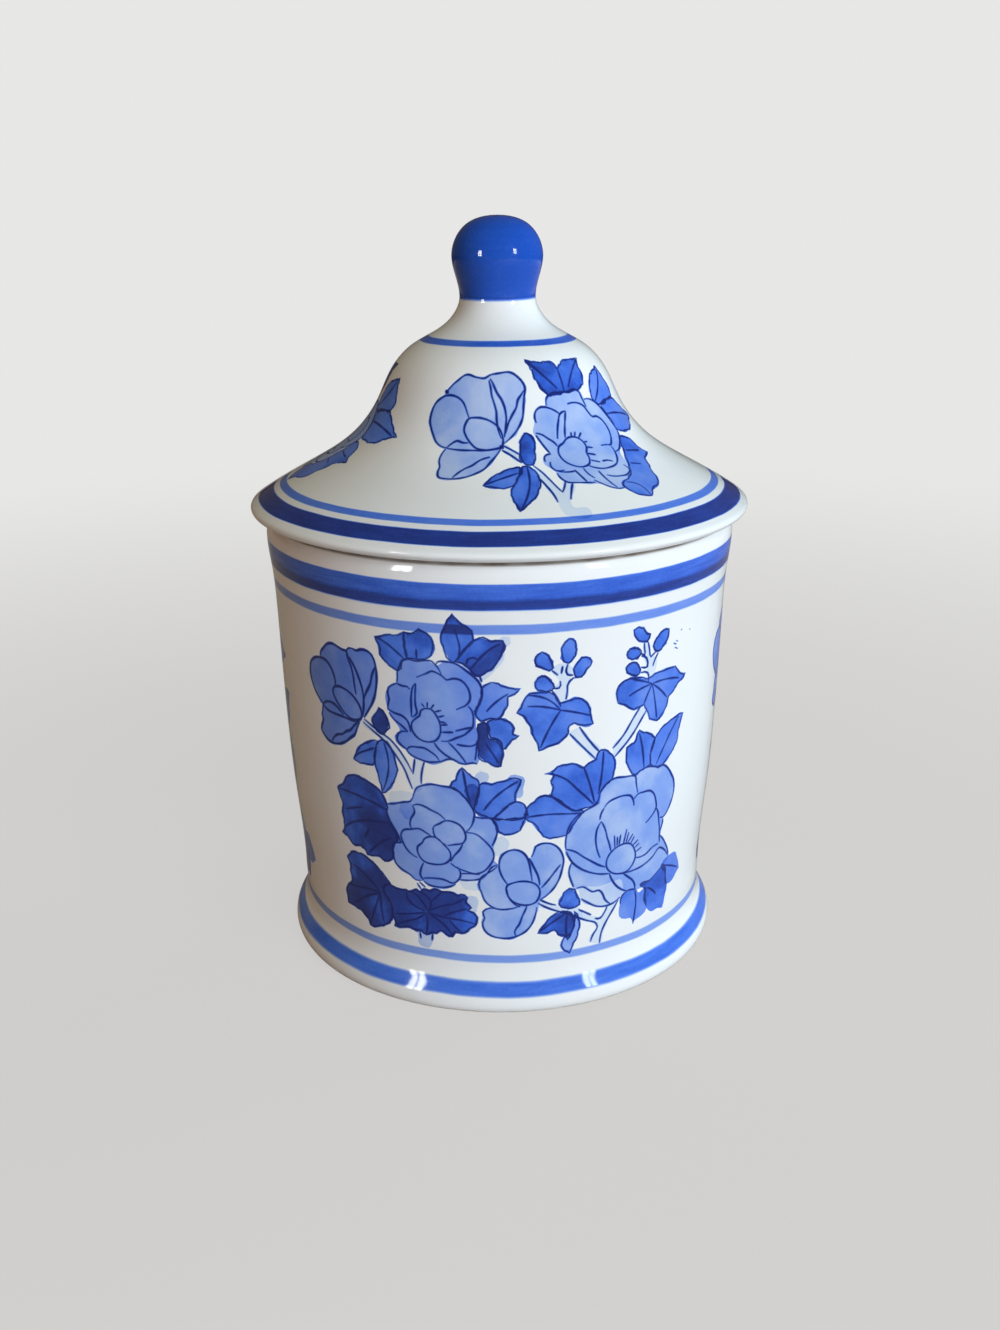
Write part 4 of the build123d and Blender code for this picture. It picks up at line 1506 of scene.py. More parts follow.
    Motif(Tone.MIST, width=0.2, lines="""
    44.5,89 45,89 / 47.9,88.3 48.3,88.2 / 42.1,86.4 43.2,85.9 / 42.6,85.3 43.8,84.7 / 43,86.8 43.7,86.5
    """),
    Motif(Tone.LEAF, lines="""
    21.1,51.9 17.2,56.1 14,59.3 10.5,60.8 / 21.4,52.2 20,57.2 18.5,61.4 / 22.3,54 22.9,58.2 23.2,64.5 /
    5.2,50.3 10.8,50.7 16.1,50.2 19,50 / 10.6,55.8 14,52.6 16,51 / 32.7,66.9 33.7,63.5 34.3,60.3 34.6,57.9 /
    45.8,67.7 42.9,64.5 40.8,61.4 38.5,57.7
    """, shapes="""
    9.5,61.1! 10.8,61.1 12.4,62.2 14.5,62.7 16.6,62.4 18.5,61.3 19.8,62.2 21.4,62.9 21.9,64.3 23.5,65
    24.8,63.7 26,62.4 26.2,59.8 25.8,57.4 24.3,56.1 22.7,54.3 22.4,52.4 21.4,51.6 19.3,51.1 16.1,51.1
    13.5,53.5 11.1,55.8 11.4,57.2 11.1,59 11.6,60.3 / 5,50.3! 5.8,52.7 7.2,54.3 8.7,55.3 10.8,55.3 11.6,54.8
    14,52.9 16.1,51.1 18.7,50.3 17.7,49 16.1,47.2 15.6,45.6 14,44.8 11.9,44.6 9.3,45.3 8.5,46.9 7.7,48.2
    6.1,49.5 / 29.4,64 30.3,64.5 31.4,65 32.2,66.9 32.7,67.6! 34,66.9 35.6,66.1 36.9,65.3 37.6,64.5
    36.9,62.4 36.4,59.8 36.6,58.2 35,57.7 33.5,57.4 32.2,56.7 30.8,57.9 29.7,59.8 29.3,61.9 / 37.6,64.4
    39.3,66.1 41.4,67.2 44,67.7 45.8,68.1 47.4,67.9! 46.6,66.1 46,64 45.8,61.9 44.5,59.8 42.9,58.5 41.1,57.2
    39.3,56.5 38.2,57.2 36.6,58.2 36.4,59.8 36.9,62.4
    """),
    # Large open flower on the right
    Motif(Tone.BLUSH, washes="""
    22.6,54 23.5,55.3 24.8,56.7 26.6,57.3 29.3,57 31.6,56.8 34.3,57.7 36.6,57.8 38.7,57.1 41.4,56.7
    43.3,55.1 44.6,53.2 45.7,51.4 46.1,49.3 45.9,47.2 45.1,45.2 44,43.6 42.5,42.5 42.3,40.3 42.1,38.1
    43.5,36.7 45.1,34.6 46.2,32.7 46.7,30.8 45.2,29 42,27 38,26 34.9,25.7 32,26 30,30.4 25,29.6 20,30.4
    17.2,30.8 16.3,32.7 15.7,35 16.3,37.5 14.9,41 14.6,43.5 15,45.6 15.8,47.8 17.2,49.4 19.5,50.7 21.4,51.4
    22.5,52.2
    """, lines="""
    22.7,54 23.5,55.3 24.8,56.6 26.6,57.2 29.3,56.9 31.4,56.7 32.2,56.4 32.5,54.8 33.2,51.9 / 32.2,56.5
    34.3,57.6 36.6,57.7 38.7,57 41.4,56.6 43.2,55 44.5,53.2 45.6,51.4 46,49.3 45.8,47.2 45,45.3 44,43.7
    42.4,42.7 41.4,43 / 24,50.3 25.3,51.6 27.2,52.1 29.3,52.2 31.1,51.7 32,50.3 32.3,48.8 / 32.2,50.6
    33.2,51.5 35,51.6 37.2,51.3 38.7,49.8 39.4,47.9 39.7,46.4 38.2,44.3 36.4,43.1 / 39.7,46.1 40.6,44.5
    41.1,42.2 41.6,40.3 41.9,38.2 42.2,36.1 / 42.7,42.2 42.4,40.3 41.9,39.3 / 42.2,37.9 43.5,36.6 45,34.5
    46.1,32.7 46.5,30.8 / 22.7,51.9 21.4,51.3 19.5,50.6 17.2,49.3 15.8,47.7 15,45.6 14.7,43.5 14.8,41.4 /
    24,50.2 23.2,48.7 23,47.4 / 23.4,46.9 22.4,45 22.2,42.9 22.7,39.8 23.7,37.3 / 23.4,46.9 24.5,44.8
    25.3,42.2 26.1,40 26.5,38.5 / 14.8,41.2 17.2,40.2 19,38.7 21.4,36.9 23.7,35.3 25.3,34.5 / 15,40.6
    16.4,37.7 18.5,35.6 21.1,34 24,32.9 26.6,32.4 / 16.4,37.4 15.8,35 16.4,32.7 17.2,30.8 / 29,39.3
    30.8,39.4 32.4,38.7 33.6,36.9 34.1,34.8 33.4,32.9 31.9,31.6 29.3,31.6 26.9,32.7 25.6,34.5 25.6,36.4
    26.4,37.9 27.4,38.7 z / 0.35:27.6,39 27.2,42.4 / 0.35:28.2,39.3 28.1,41.9 / 0.35:28.7,39.3 29,42.2 /
    0.35:30,39.5 30.7,43.2 / 0.35:30.7,39.5 31.4,42.2 / 0.35:31.3,39.5 32.7,41.4 / 0.35:32.2,39 33.2,40.6 /
    0.35:32.9,38.2 34.5,39.3 / 0.35:33.5,37.4 35,38.2 / 0.35:33.9,36.1 35.8,36.9 / 34.3,34.5 37.4,34.4
    39.8,35.6 41.9,35.8 / 30.7,31.4 34,31.2 37.2,31.6 40.3,32.9 42.4,34.5 44.3,33.5 46.1,31.4 / 26.6,32.4
    27.4,30.6 28.7,28.7 30.3,27.2 32.2,26.1 / 30.6,31.4 32.2,30 33.7,28.7 34.8,26.9 34.9,25.6 / 17.9,30.3
    19.8,30.3 21.1,29.3 22.2,28.5 24,28.5 25,27.4 25.8,25.6 27.4,24 / 19.3,27.2 21.4,25.6 23.5,24.3
    26.6,23.7 28.5,24 30.3,25
    """),
    Motif(Tone.FAINT, washes="""
    16.8,31.2 20,30.6 25,29.8 30,30.6 32,26 30.4,25 28.5,23.9 26.6,23.6 23.5,24.2 21.3,25.6 19.2,27.2
    18.6,29.6 / 38,57 41.4,56.6 43.2,55 44.5,53.2 45.6,51.4 46,49.3 45,45.3 42.6,43 41,46 39.4,49.6 36,51.6
    33.4,51.8
    """),
    Motif(Tone.MIST, washes="""
    19,24 22.2,22.2 24.8,20.8 26.6,23.4 29.8,24.2 26.4,19.3 24.8,14.2 22.2,15 23.8,19 20.8,21.1 17.4,22.9
    """, lines="""
    19,24.3 22.2,22.2 / 17.2,22.9 20.8,21.1 23.7,19.5 24,18.7 22.7,16.6 22.2,15 / 26.6,23.5 25.8,21.9
    24.8,20.8 23.2,21.1 / 29.8,24.3 28.2,21.9 26.4,19.3 25.3,17.2 24.8,14
    """),
    # Three leaves under the large flower
    Motif(Tone.THIN, washes="""
    30.5,23 31,25.2 32.3,26 34,26 35.2,25.4 36,24.2 37.5,24.2 38.6,25 39.2,22 39,18.3 37.5,18 35.7,17.3
    34.8,16.2! 33.8,18.3 32.5,18.3 31.3,19 30.6,21 / 44.5,29 46,30.2 48.5,30.5 50.5,30.2 51.8,28.5 52.5,26.5
    53.3,24.7! 51.5,24 50,23 48.5,22.4 47.3,22.5 46,26
    """, lines="""
    0.3:30.5,23 31,25.2 32.3,26 34,26 35,25.6 / 0.36:35,25.3 35.6,22.4 35.3,18.7 34.9,16.3 / 0.3:45.6,28.5
    48.7,27.2 52.4,25.3
    """),
    Motif(Tone.FULL, lines="0.36:39.4,24.6 41,23.6 42.9,21.6", washes="""
    36.6,26.4 38,27 40,26.8 42,27.2 43.5,28 44.7,29.2! 46.4,27 47.3,24 47.4,21 46.5,19 45.8,17! 44,17.3
    42,17.2 40.5,18 39.5,19 38.8,21 38.4,24.6
    """),
)
LID_MOTIFS: tuple[Motif, ...] = (
    # Flower on the left
    Motif(Tone.PALE, width=0.42, washes="""
    -20,32.2 -22,32.4 -25,33.5 -27.2,35.1 -29.1,36.7 -30.8,38.5 -31.1,40.6 -30.2,42.5 -28,43.8 -26,44.6
    -24,46.4 -21.2,47.9 -16.2,49.7 -11.2,49.1 -6.9,48.9 -4,49.7 0.3,50.1 6,50.3 10.3,48.9 12.9,46.7 12,44.3
    11.3,42 10.4,39.6 9,38 6.7,36.2 4.1,34.6 1.8,33.5 0.7,32.2 -0.8,30.6 -3.1,28.5 -4.9,26.7 -7.6,25.3
    -10.6,24.2 -13.6,23.6 -16.6,23.5 -19.3,23.9 -20.2,25.4 -20.2,26.9 -21.2,28.5 -21.3,30.1
    """, lines="""
    -20,32.2 -22,32.4 -25,33.5 -27.2,35.1 -29.1,36.7 -30.8,38.5 -31.1,40.6 -30.2,42.5 -28,43.8 -25,44.6
    -22.3,44.7 -19.3,44.3 -16.7,43.4 -15.1,42.2 -14,40.9 -12.9,39.7 / -25,45.6 -24,46.4 -21.2,47.9
    -16.2,49.7 -11.2,49.1 -6.9,48.9 -4,49.7 0.3,50.1 6,50.3 10.3,48.9 12.9,46.7 12,44.3 11.3,42 10.4,39.6
    9,38 6.7,36.2 4.1,34.6 1.8,33.5 / 12.6,46 10.5,44.8 9,43.8 8.1,42.2 6,40.4 4.1,38.5 3,36.9 2.2,35.1 /
    -4.2,48.8 -3.1,48 -0.8,45.6 1.5,43.8 2.8,42 3.3,40.1 3.1,38 2.2,35.4 / -4.7,48.4 -3.8,46.9 -3.1,44.8
    -1.9,43 -1,41.2 -0.8,39.1 -0.1,36.9 1.1,34.8 / -14,38.5 -12.9,39.5 -9.8,39.8 -6.5,39.6 -3.1,38.9 -0.8,38
    1.1,36.2 1.7,34.3 1.1,32.7 -1.6,32.1 -4.9,31.9 -8.3,32.3 -11,33.7 -12.9,35.1 -14.4,36.9 z / -20,32.2
    -18.1,33.5 -16.6,34.1 -14,33.7 -11.7,33.7 / -20,32.1 -15.1,31.8 -9.8,31.8 -4.6,31.9 0.7,32.7 /
    -20.2,31.9 -21.3,30.1 -21.2,28.5 -20.2,26.9 -20.2,25.4 -19.3,23.9 -16.6,23.5 -13.6,23.6 -10.6,24.2
    -7.6,25.3 -4.9,26.7 -3.1,28.5 -0.8,30.6 0.7,32.2 / -14.7,23.8 -13.6,25.1 -11.4,26.7 -9.1,27.7 -6.8,29.1
    -3.1,30.1 / 1.1:-26,45.1 -24.6,45.7 / 1.0:0.5,32.4 1.7,33
    """),
    # Its stem, bud leaf and leaf pair
    Motif(Tone.MIST, washes="""
    1.8,33 5.2,31.7 7.9,30.4 7.9,28.3 4.5,30.4 1.1,31.9 / 11.6,27.5 13.9,25.4 15.8,22.7 17.9,18.8 20.3,22.2
    22.2,21.4 19.5,17 19.2,13.5 22.5,13 22.6,11.2 16.2,11.2 15.4,15.6 13.9,21.2 12,24.3
    """, lines="""
    1.8,33 5.2,31.7 7.9,30.4 / 1.1,31.9 4.5,30.4 7.9,28.3 / 11.6,27.5 13.9,25.4 15.8,22.7 16.9,20.6
    17.9,18.8! 19.5,20.9 20.3,22.2 / 22.2,21.4 20.7,19.1 19.2,16.2 / 12,24.3 13.9,21.2 15,18.5 15.4,15.6
    """),
    Motif(Tone.DEEP, shapes="""
    10.4,36! 12,35.6 13.7,34.6 13.5,32.2 12.8,29.6 11.6,27.7 9.8,27.7 8.2,28.8 7.9,30.9 8.2,33.3 9,34.8
    """),
    Motif(Tone.LEAF, lines="-4.2,22 0.7,23.8 6,25.4", shapes="""
    -4.6,21.7! -2.7,23.8 0.3,25.6 3.7,26.7 6.7,27.1 7.1,25.4 5.2,23.3 4.5,21.7 2.2,20.9 -1.6,21.1
    """),
    Motif(Tone.FULL, lines="9.4,27 9.4,23.3 7.9,18.5 5.6,14.1", shapes="""
    8.2,27.2 10.1,27.2 11.6,25.9 12.6,23.8 12,21.2 10.5,18.5 8.6,16.4 6.4,14.6 5.2,13.5! 4.1,16.4 3.3,18.5
    4.1,21.2 6,23.8 7.1,25.9
    """),
    # Open flower on the right
    Motif(Tone.PALE, washes="""
    15.8,39.6 16.9,41.2 19.2,42 22.2,42.3 23.3,44.2 25.6,44.9 30,45 35.4,45.1 40.3,45.2 42,44.7 43.5,42.9
    46.7,42.8 50.1,42 52.7,40.7 55,38.6 56.6,35.9 56.6,33.4 54.6,31.8 52.3,30.5 49.5,29 48,26.5 46,23
    43.7,21.7 40,20.5 37.8,18 35.8,17.8 33.9,18.4 31.6,20 29.7,20.8 27.1,21 24.1,21.3 20.7,21.8 19.4,23
    18.6,24.8 17.6,26.6 16.2,28.3 16.4,29.8 18.6,30.6 16.4,33.5 14.9,35.5 15.5,37.5
    """, lines="""
    16.2,38.3 15.8,39.6 16.9,41.2 19.2,41.9 21.8,41.8 24.8,41.2 27.1,40.4 28.2,39.8 / 15,35.9 17.7,35.4
    19.9,34.3 21.8,33.3 22.7,32.2 / 15,35.4 16.5,33.5 18.8,30.6 / 16.2,28.3 16.5,29.8 19.2,30.4 / 31.2,40.6
    28.2,40.1 26.3,38.3 24.8,36.2 23.7,34.1 / 31.2,40.6 29.7,38.5 28.2,36.2 27.1,34.2 / 22.2,42.2 23.3,44.1
    25.6,44.8 30.1,44.9 35.4,45 40.3,45.1 41.8,44.6 42.5,43.3 43.7,40.9 / 33.1,42.1 35.4,42.3 39.1,42.1
    42.2,41.2 43.8,39.6 45.2,38.5 47.8,38.4 50.1,37.5 51.4,35.4 50.5,33.3 48.6,31.7 47.1,30.9 44.4,31.1
    41.8,31.1 / 43.7,42.7 46.7,42.7 50.1,41.9 52.7,40.6 55,38.5 56.5,35.9 56.5,33.5 54.6,31.9 52.3,30.6
    49.7,29.3 46.7,28.8 / 46.7,30.6 46.3,28.5 44.4,26.4 42.5,25.4 39.1,24.8 35.4,24.8 32.4,25.6 30.9,26.4 /
    37.6,26.8 39.9,26.9 42.2,26.3 / 45.2,24.8 45.9,23.3 43.7,21.9 39.9,21.7 36.9,22.1 35.4,22.7 / 27.1,33.8
    29.3,34.3 32,34.1 34.2,33 34.8,31.4 33.5,29.8 33.3,28.3 32,26.7 29,26 25.6,26.7 22.9,28.5 22.2,30.6
    23.3,32.2 25.6,33 z / 0.4:30.1,34.4 30.7,35.5 / 0.4:31.6,34.3 32.7,35.5 / 0.4:33.1,33.8 35.4,35.1 /
    0.4:34.5,32.6 36.5,32.7 / 0.4:34.6,31.3 37.5,30.9 / 0.4:33.5,29.6 36.9,28.9 / 0.4:33.1,27.7 36.7,26.7 /
    18,28.3 17.7,26.7 18.4,25.9 21.8,25.6 / 18.8,25.6 22.6,24.9 25.6,25.1 / 18.8,24.8 19.5,23 20.7,21.9
    24.1,21.4 27.1,21.1 29.7,20.9 / 25.2,25.4 26.3,23.3 27.1,21.2 / 28.7,25.6 29.2,23.8 30.5,22.2 /
    29.7,21.7 31.6,20.1 33.9,18.5 35.8,17.9 37.6,18 / 33.5,24.3 34.2,21.2 35.4,18.3
    """),
    # Leaves round it
    Motif(Tone.DUSK, lines="""
    16.8,53 23.2,49.4 29.7,45.9 / 50.5,52.4 41.8,49.4 36.1,45.9 / 33.2,50.4 33.2,45.1
    """, shapes="""
    15.8,53.4! 19.6,52.9 25.4,52.6 31.1,52.4 33.2,50.4! 35.4,51.4 39.7,52.6 46.1,52.6 51.9,52.7! 49,51.4
    48.3,48.9 46.8,46.7 43.3,45.4 35,45 23.2,44.9 21.1,46.4 18.5,48.9 17.5,51.4
    """),
    Motif(Tone.THIN, lines="51.2,41.9 57.6,44.9 64,48.9 / 56.2,38.4 66.2,37.9 77.6,36.1", shapes="""
    50.2,41.9 50.4,44.9 52.6,46.9 56.2,48.4 61.2,49.1 65,49.7! 66.9,46.9 69.1,43.9 67.6,41.9 61.9,41.7
    54.7,40.9 / 54.7,40.9 61.9,41.7 67.6,41.7 71.9,39.9 76.2,37.9 80.5,36.1! 74.8,35.1 69.1,33.4 61.9,33.4
    57.6,33.9 56.9,36.9
    """),
    Motif(Tone.LEAF, lines="""
    40,19.5 42.9,18.5 43.7,14.3 / 49,24.8 53.5,23.8 / 52.7,28.5 60.3,27.5
    """, shapes="""
    55,32.2 58.7,31.9 61.4,30.9 61.9,29.1 62.5,27.5 64.6,26.2! 61,25.6 58,24.6 56.5,22.7 54.2,20.6 53.1,18.5
    50.5,16.9 46.7,15.9 43.7,13.8! 40.7,14.8 38.4,16.7 38,18.5 39.1,19.8 42.2,20.6 45.2,22.2 47.4,24.3
    49.7,26.9 52.3,29.6
    """),
)


@dataclass
class JarBody:
    """The canister: foot ring, flared foot, waisted wall and beaded rim. Sizes in millimetres.

    The painted pair and the pair of the brown ring painted as the shade of the seam under the lid's
    lip hold heights. Other pairs are a radius and a height, or shares of a climb and of the change in
    radius over it.
    """

    height: float = 110.3
    foot_radius: float = 55.1
    foot_edge: Pair = (1.7, 2.2)
    waist: Pair = (51.9, 17.5)
    bead: Pair = (56.9, 105.4)
    bead_width: float = 2.4
    flare_shares: Pair = (0.38, 0.8)
    wall_shares: tuple[Pair, ...] = ((0.245, 0.3), (0.51, 0.57), (0.79, 0.72), (0.905, 0.84))
    wall: float = 4.6
    rim_wall: float = 5.0
    rim_round: float = 0.9
    mouth_depth: float = 13.0
    floor_height: float = 8.0
    cove: float = 8.0
    recess: float = 3.0
    ring_width: float = 4.2
    ring_cove: float = 1.6
    corner: float = 0.5
    painted: Pair = (10.6, 98.9)
    middle_inside: Pair = (50.12, 61.61)
    drawing_reach: float = 54.0
    # Heights of the brown ring painted as the shade of the seam under the lid's lip
    seam_shade_heights: Pair = (109.0, 109.9)

    def outline(self) -> tuple[Outline, list[int]]:
        """Draw the outline from the middle of the underside round to the middle of the floor.

        Returns:
            The outline, and the row counts where the bare foot ring starts and ends and where the
            outside ends.
        """
        ring_out = self.foot_radius - self.foot_edge[0]
        ring_in = ring_out - self.ring_width
        foot = (self.foot_radius, self.foot_edge[1])
        mouth = self.bead[0] - self.rim_wall
        marks = []
        drawn = Outline((0.0, self.recess))
        drawn.line((ring_in - self.ring_cove, self.recess))
        drawn.arc((self.ring_cove, self.ring_cove), 90, -90)
        drawn.line((ring_in, self.corner))
        marks.append(len(drawn.places))
        drawn.arc((self.corner, self.corner), 180, 90)
        drawn.line((ring_out, 0.0))
        marks.append(len(drawn.places))
        drawn.arc(self.foot_edge, -90, 90)
        drawn.spline([between(foot, self.waist, self.flare_shares), self.waist], UP, UP)
        knots = [between(self.waist, self.bead, shares) for shares in self.wall_shares]
        drawn.spline(knots + [self.bead], UP, UP)
        drawn.arc((self.bead_width, self.height - self.bead[1]), 0, 90)
        marks.append(len(drawn.places))
        drawn.line((mouth + self.rim_round, self.height))
        drawn.arc((self.rim_round, self.rim_round), 90, 90)
        drawn.line((mouth, self.height - self.mouth_depth))
        inner_foot = self.waist[0] - self.wall
        drawn.spline([self.middle_inside, (inner_foot, self.floor_height + self.cove)], DOWN, DOWN)
        drawn.arc((self.cove, self.cove), 0, -90)
        drawn.line((0.0, self.floor_height))
        return drawn, marks

    def build(self) -> bpy.types.Object:
        """Build the jar with its painting.

        Returns:
            The jar's object.
        """
        drawn, marks = self.outline()
        places, _ = drawn.rows()
        bare_in, bare_out, rim = (row_at(places, drawn.places[m - 1]) for m in marks)
        outer = np.arange(len(places))
        outer = outer[(outer > bare_out) & (outer < rim)]
        low, high = (int(outer[np.abs(places[outer, 1] - at).argmin()]) for at in self.painted)
        stretch = places[low:high + 1]
        skin = PaintedSkin(stretch, stretch[:, 1], self.drawing_reach, FRONT_START, JAR_MOTIFS)
        runs = [
            (0, bare_in, Zone.HIDDEN), (bare_in, bare_out, Zone.BARE), (bare_out, low, Zone.OUTSIDE),
            (high, rim, Zone.OUTSIDE), (rim, len(places) - 1, Zone.HIDDEN),
        ]
        return turned_object("jar_porcelain", drawn, runs, skin)

    def dress(self, piece: bpy.types.Object) -> None:
        """Glaze the jar, paint the shade of the seam under the lid's lip in brown, and leave its foot ring
        bare.

        Args:
            piece: The jar's object.
        """
        outside = GlazeFinish("jar_glaze", JAR_RINGS, seam_shade_heights=self.seam_shade_heights)
        coat(piece, outside, GlazeFinish("jar_inner_glaze"), BisqueFinish("jar_foot_bisque"))
        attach(piece, "jar")
        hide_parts("jar_body")


def row_at(places: np.ndarray, point: np.ndarray) -> int:
    """Number of the outline row nearest to a point."""
    return int(np.linalg.norm(places - point, axis=1).argmin())


def coat(piece: bpy.types.Object, *finishes: GlazeFinish | BisqueFinish) -> None:
    """Give each zone of a piece its own finish.

    Args:
        piece: The piece's object.
        finishes: One finish for each zone, in the order of the zones.
    """
    for finish in finishes:
        piece.data.materials.append(finish.make())
    zones = read_numbers(piece.data.attributes[ZONE].data, "value")
    piece.data.polygons.foreach_set("material_index", zones)


@dataclass
class BellLid:
    """The lid: rounded lip, ogee bell up to the neck, hollow inside, with a locating collar.

    The painted pair is measured along the skin from the middle of the lip, and the inner rows are
    shares of the bell's length. The skin's steps are those of washes, lines and plain mesh.
    """

    seat: float = 110.3
    lip_radius: float = 60.3
    lip_height: float = 3.2
    lip_under: float = 2.3
    lip_top: float = 1.6
    bell_height: float = 46.3
    neck_radius: float = 8.95
    lip_slope: Pair = (-1.0, 0.66)
    bell_shares: tuple[Pair, ...] = (
        (0.155, 0.75), (0.31, 0.532), (0.49, 0.403), (0.635, 0.337), (0.757, 0.236), (0.85, 0.088),
        (0.92, 0.025),
    )
    wall: float = 4.4
    neck_core: float = 9.3
    collar_radius: float = 51.0
    collar_wall: float = 4.0
    collar_depth: float = 9.0
    collar_edge: float = 1.0
    corner: float = 0.5
    painted: Pair = (6.2, 56.0)
    inner_rows: tuple[float, ...] = (0.21, 0.39, 0.58, 0.72)
    skin_start: float = -38.0
    skin_steps: Triple = (0.6, 0.55, 1.5)
    shifts: tuple[Pair, ...] = ((0.0, 0.0), (0.0, 0.0), (-5.5, -2.5))

    def outline(self) -> tuple[Outline, list[int]]:
        """Draw the outline from the hollow's crown, down inside, round the collar and up the bell.

        Returns:
            The outline, and the row counts where the bare collar and seat start and end, where the
            lip's middle is and where the outside ends.
        """
        foot = (self.lip_radius - self.lip_top, self.seat + self.lip_height)
        neck = (self.neck_radius, foot[1] + self.bell_height)
        bell_low, bell_high = (neck[0], foot[1]), (foot[0], neck[1])
        bell = Outline(foot)
        knots = [between(bell_low, bell_high, s) for s in self.bell_shares]
        bell.spline(knots + [neck], self.lip_slope, UP)
        places, normals = bell.rows()
        lengths = np.r_[0.0, np.cumsum(np.linalg.norm(np.diff(places, axis=0), axis=1))]
        inner = []
        for share in self.inner_rows:
            row = int(np.searchsorted(lengths, share * lengths[-1]))
            inner.append(tuple(places[row] - normals[row] * self.wall))
            slope = (-normals[row][1], normals[row][0])
        crown = (0.0, neck[1] - self.neck_core)
        inner_radius = self.collar_radius - self.collar_wall
        bottom = self.seat - self.collar_depth
        edge, corner = self.collar_edge, self.corner
        drawn = Outline(crown)
        down = (-slope[0], -slope[1])
        drawn.spline([inner[-1]], OUT, down)
        drawn.spline(inner[-2::-1] + [(inner_radius, self.seat)], down, DOWN)
        drawn.line((inner_radius, bottom + edge))
        marks = [len(drawn.places)]
        drawn.arc((edge, edge), 180, 90)
        drawn.line((self.collar_radius - edge, bottom))
        drawn.arc((edge, edge), -90, 90)
        drawn.line((self.collar_radius, self.seat - corner))
        drawn.arc((corner, corner), 180, -90)
        drawn.line((self.lip_radius - self.lip_under, self.seat))
        marks.append(len(drawn.places))
        middle = (self.lip_radius, self.seat + self.lip_height / 2)
        drawn.spline([middle], OUT, UP)
        marks.append(len(drawn.places))
        drawn.spline([foot], UP, self.lip_slope)
        drawn.spline(knots + [neck], self.lip_slope, UP)
        marks.append(len(drawn.places))
        drawn.line((0.0, neck[1]))
        return drawn, marks

    def build(self) -> bpy.types.Object:
        """Build the lid with its painting.

        Returns:
            The lid's object.
        """
        drawn, marks = self.outline()
        places, _ = drawn.rows()
        bare_in, bare_out, lip, neck = (row_at(places, drawn.places[m - 1]) for m in marks)
        rise = np.r_[0.0, np.cumsum(np.linalg.norm(np.diff(places, axis=0), axis=1))]
        rise -= rise[lip]
        low, high = (int(np.searchsorted(rise, p)) for p in self.painted)
        stretch = slice(low, high + 1)
        skin = PaintedSkin(
            places[stretch], rise[stretch], math.degrees(1.0), self.skin_start, LID_MOTIFS, self.shifts,
            *self.skin_steps,
        )
        runs = [
            (0, bare_in, Zone.HIDDEN), (bare_in, bare_out, Zone.BARE), (bare_out, low, Zone.OUTSIDE),
            (high, neck, Zone.OUTSIDE), (neck, len(places) - 1, Zone.HIDDEN),
        ]
        return turned_object("lid_porcelain", drawn, runs, skin)

    def dress(self, piece: bpy.types.Object) -> None:
        """Glaze the lid and leave its seat bare.

        Args:
            piece: The lid's object.
        """
        outside = GlazeFinish("lid_glaze", LID_RINGS)
        coat(piece, outside, GlazeFinish("lid_inner_glaze"), BisqueFinish("lid_seat_bisque"))
        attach(piece, "lid")
        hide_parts("lid")


@dataclass
class BallKnob:
    """The ball knob on the lid's neck, under solid cobalt. Sizes in millimetres, as on the jar."""

    neck: Pair = (8.95, 159.8)
    middle: Pair = (10.7, 168.9)
    top: float = 177.9
    swell_shares: Pair = (0.43, 0.4)
    crown_shares: Pair = (0.767, 0.31)
    streaks: float = 0.12

    def build(self) -> bpy.types.Object:
        """Build the knob.

        Returns:
            The knob's object.
        """
        crest = (0.0, self.top)
        drawn = Outline((0.0, self.neck[1]))
        drawn.line(self.neck)
        base = len(drawn.places) - 1
        drawn.spline([between(self.neck, self.middle, self.swell_shares), self.middle], UP, UP)
        drawn.spline([between(self.middle, crest, self.crown_shares), crest], UP, IN)
        places, _ = drawn.rows()
        foot = row_at(places, drawn.places[base])
        runs = [(0, foot, Zone.HIDDEN), (foot, len(places) - 1, Zone.OUTSIDE)]
        return turned_object("lid_knob_porcelain", drawn, runs, None)

    def dress(self, piece: bpy.types.Object) -> None:
        """Glaze the knob in cobalt.

        Args:
            piece: The knob's object.
        """
        outside = GlazeFinish("knob_glaze", LID_RINGS[-1:], KNOB_RAMP, self.streaks)
        coat(piece, outside, BisqueFinish("knob_base_bisque"))
        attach(piece, "lid")
        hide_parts("lid_knob")


@dataclass(frozen=True)
class SoftBox:
    """A soft rectangular lamp: its place in metres, width and height, and power in watts.

    A lamp of the glint kind doesn't light the jar and only shows in its glaze.
    """

    name: str
    at: Place
    size: Pair
    power: float
    colour: Colour
    kind: Lamp = Lamp.LIGHT

    def hang(self, aim: Place, aside: float = 0.0) -> None:
        """Hang the lamp.

        Args:
            aim: What it points at.
            aside: How far to the right of its place it hangs.
        """
        light = bpy.data.lights.new(self.name, "AREA")
        light.shape = "RECTANGLE"
        light.size, light.size_y = self.size
        light.energy = self.power
        light.color = self.colour
        lamp = bpy.data.objects.new(self.name, light)
        lamp.location = (self.at[0] + aside, *self.at[1:])
        lamp.visible_glossy = self.kind is Lamp.GLINT
        lamp.visible_diffuse = self.kind is Lamp.LIGHT
        lamp.rotation_euler = (lamp.location - Vector(aim)).to_track_quat("Z", "Y").to_euler()
        bpy.context.scene.collection.objects.link(lamp)


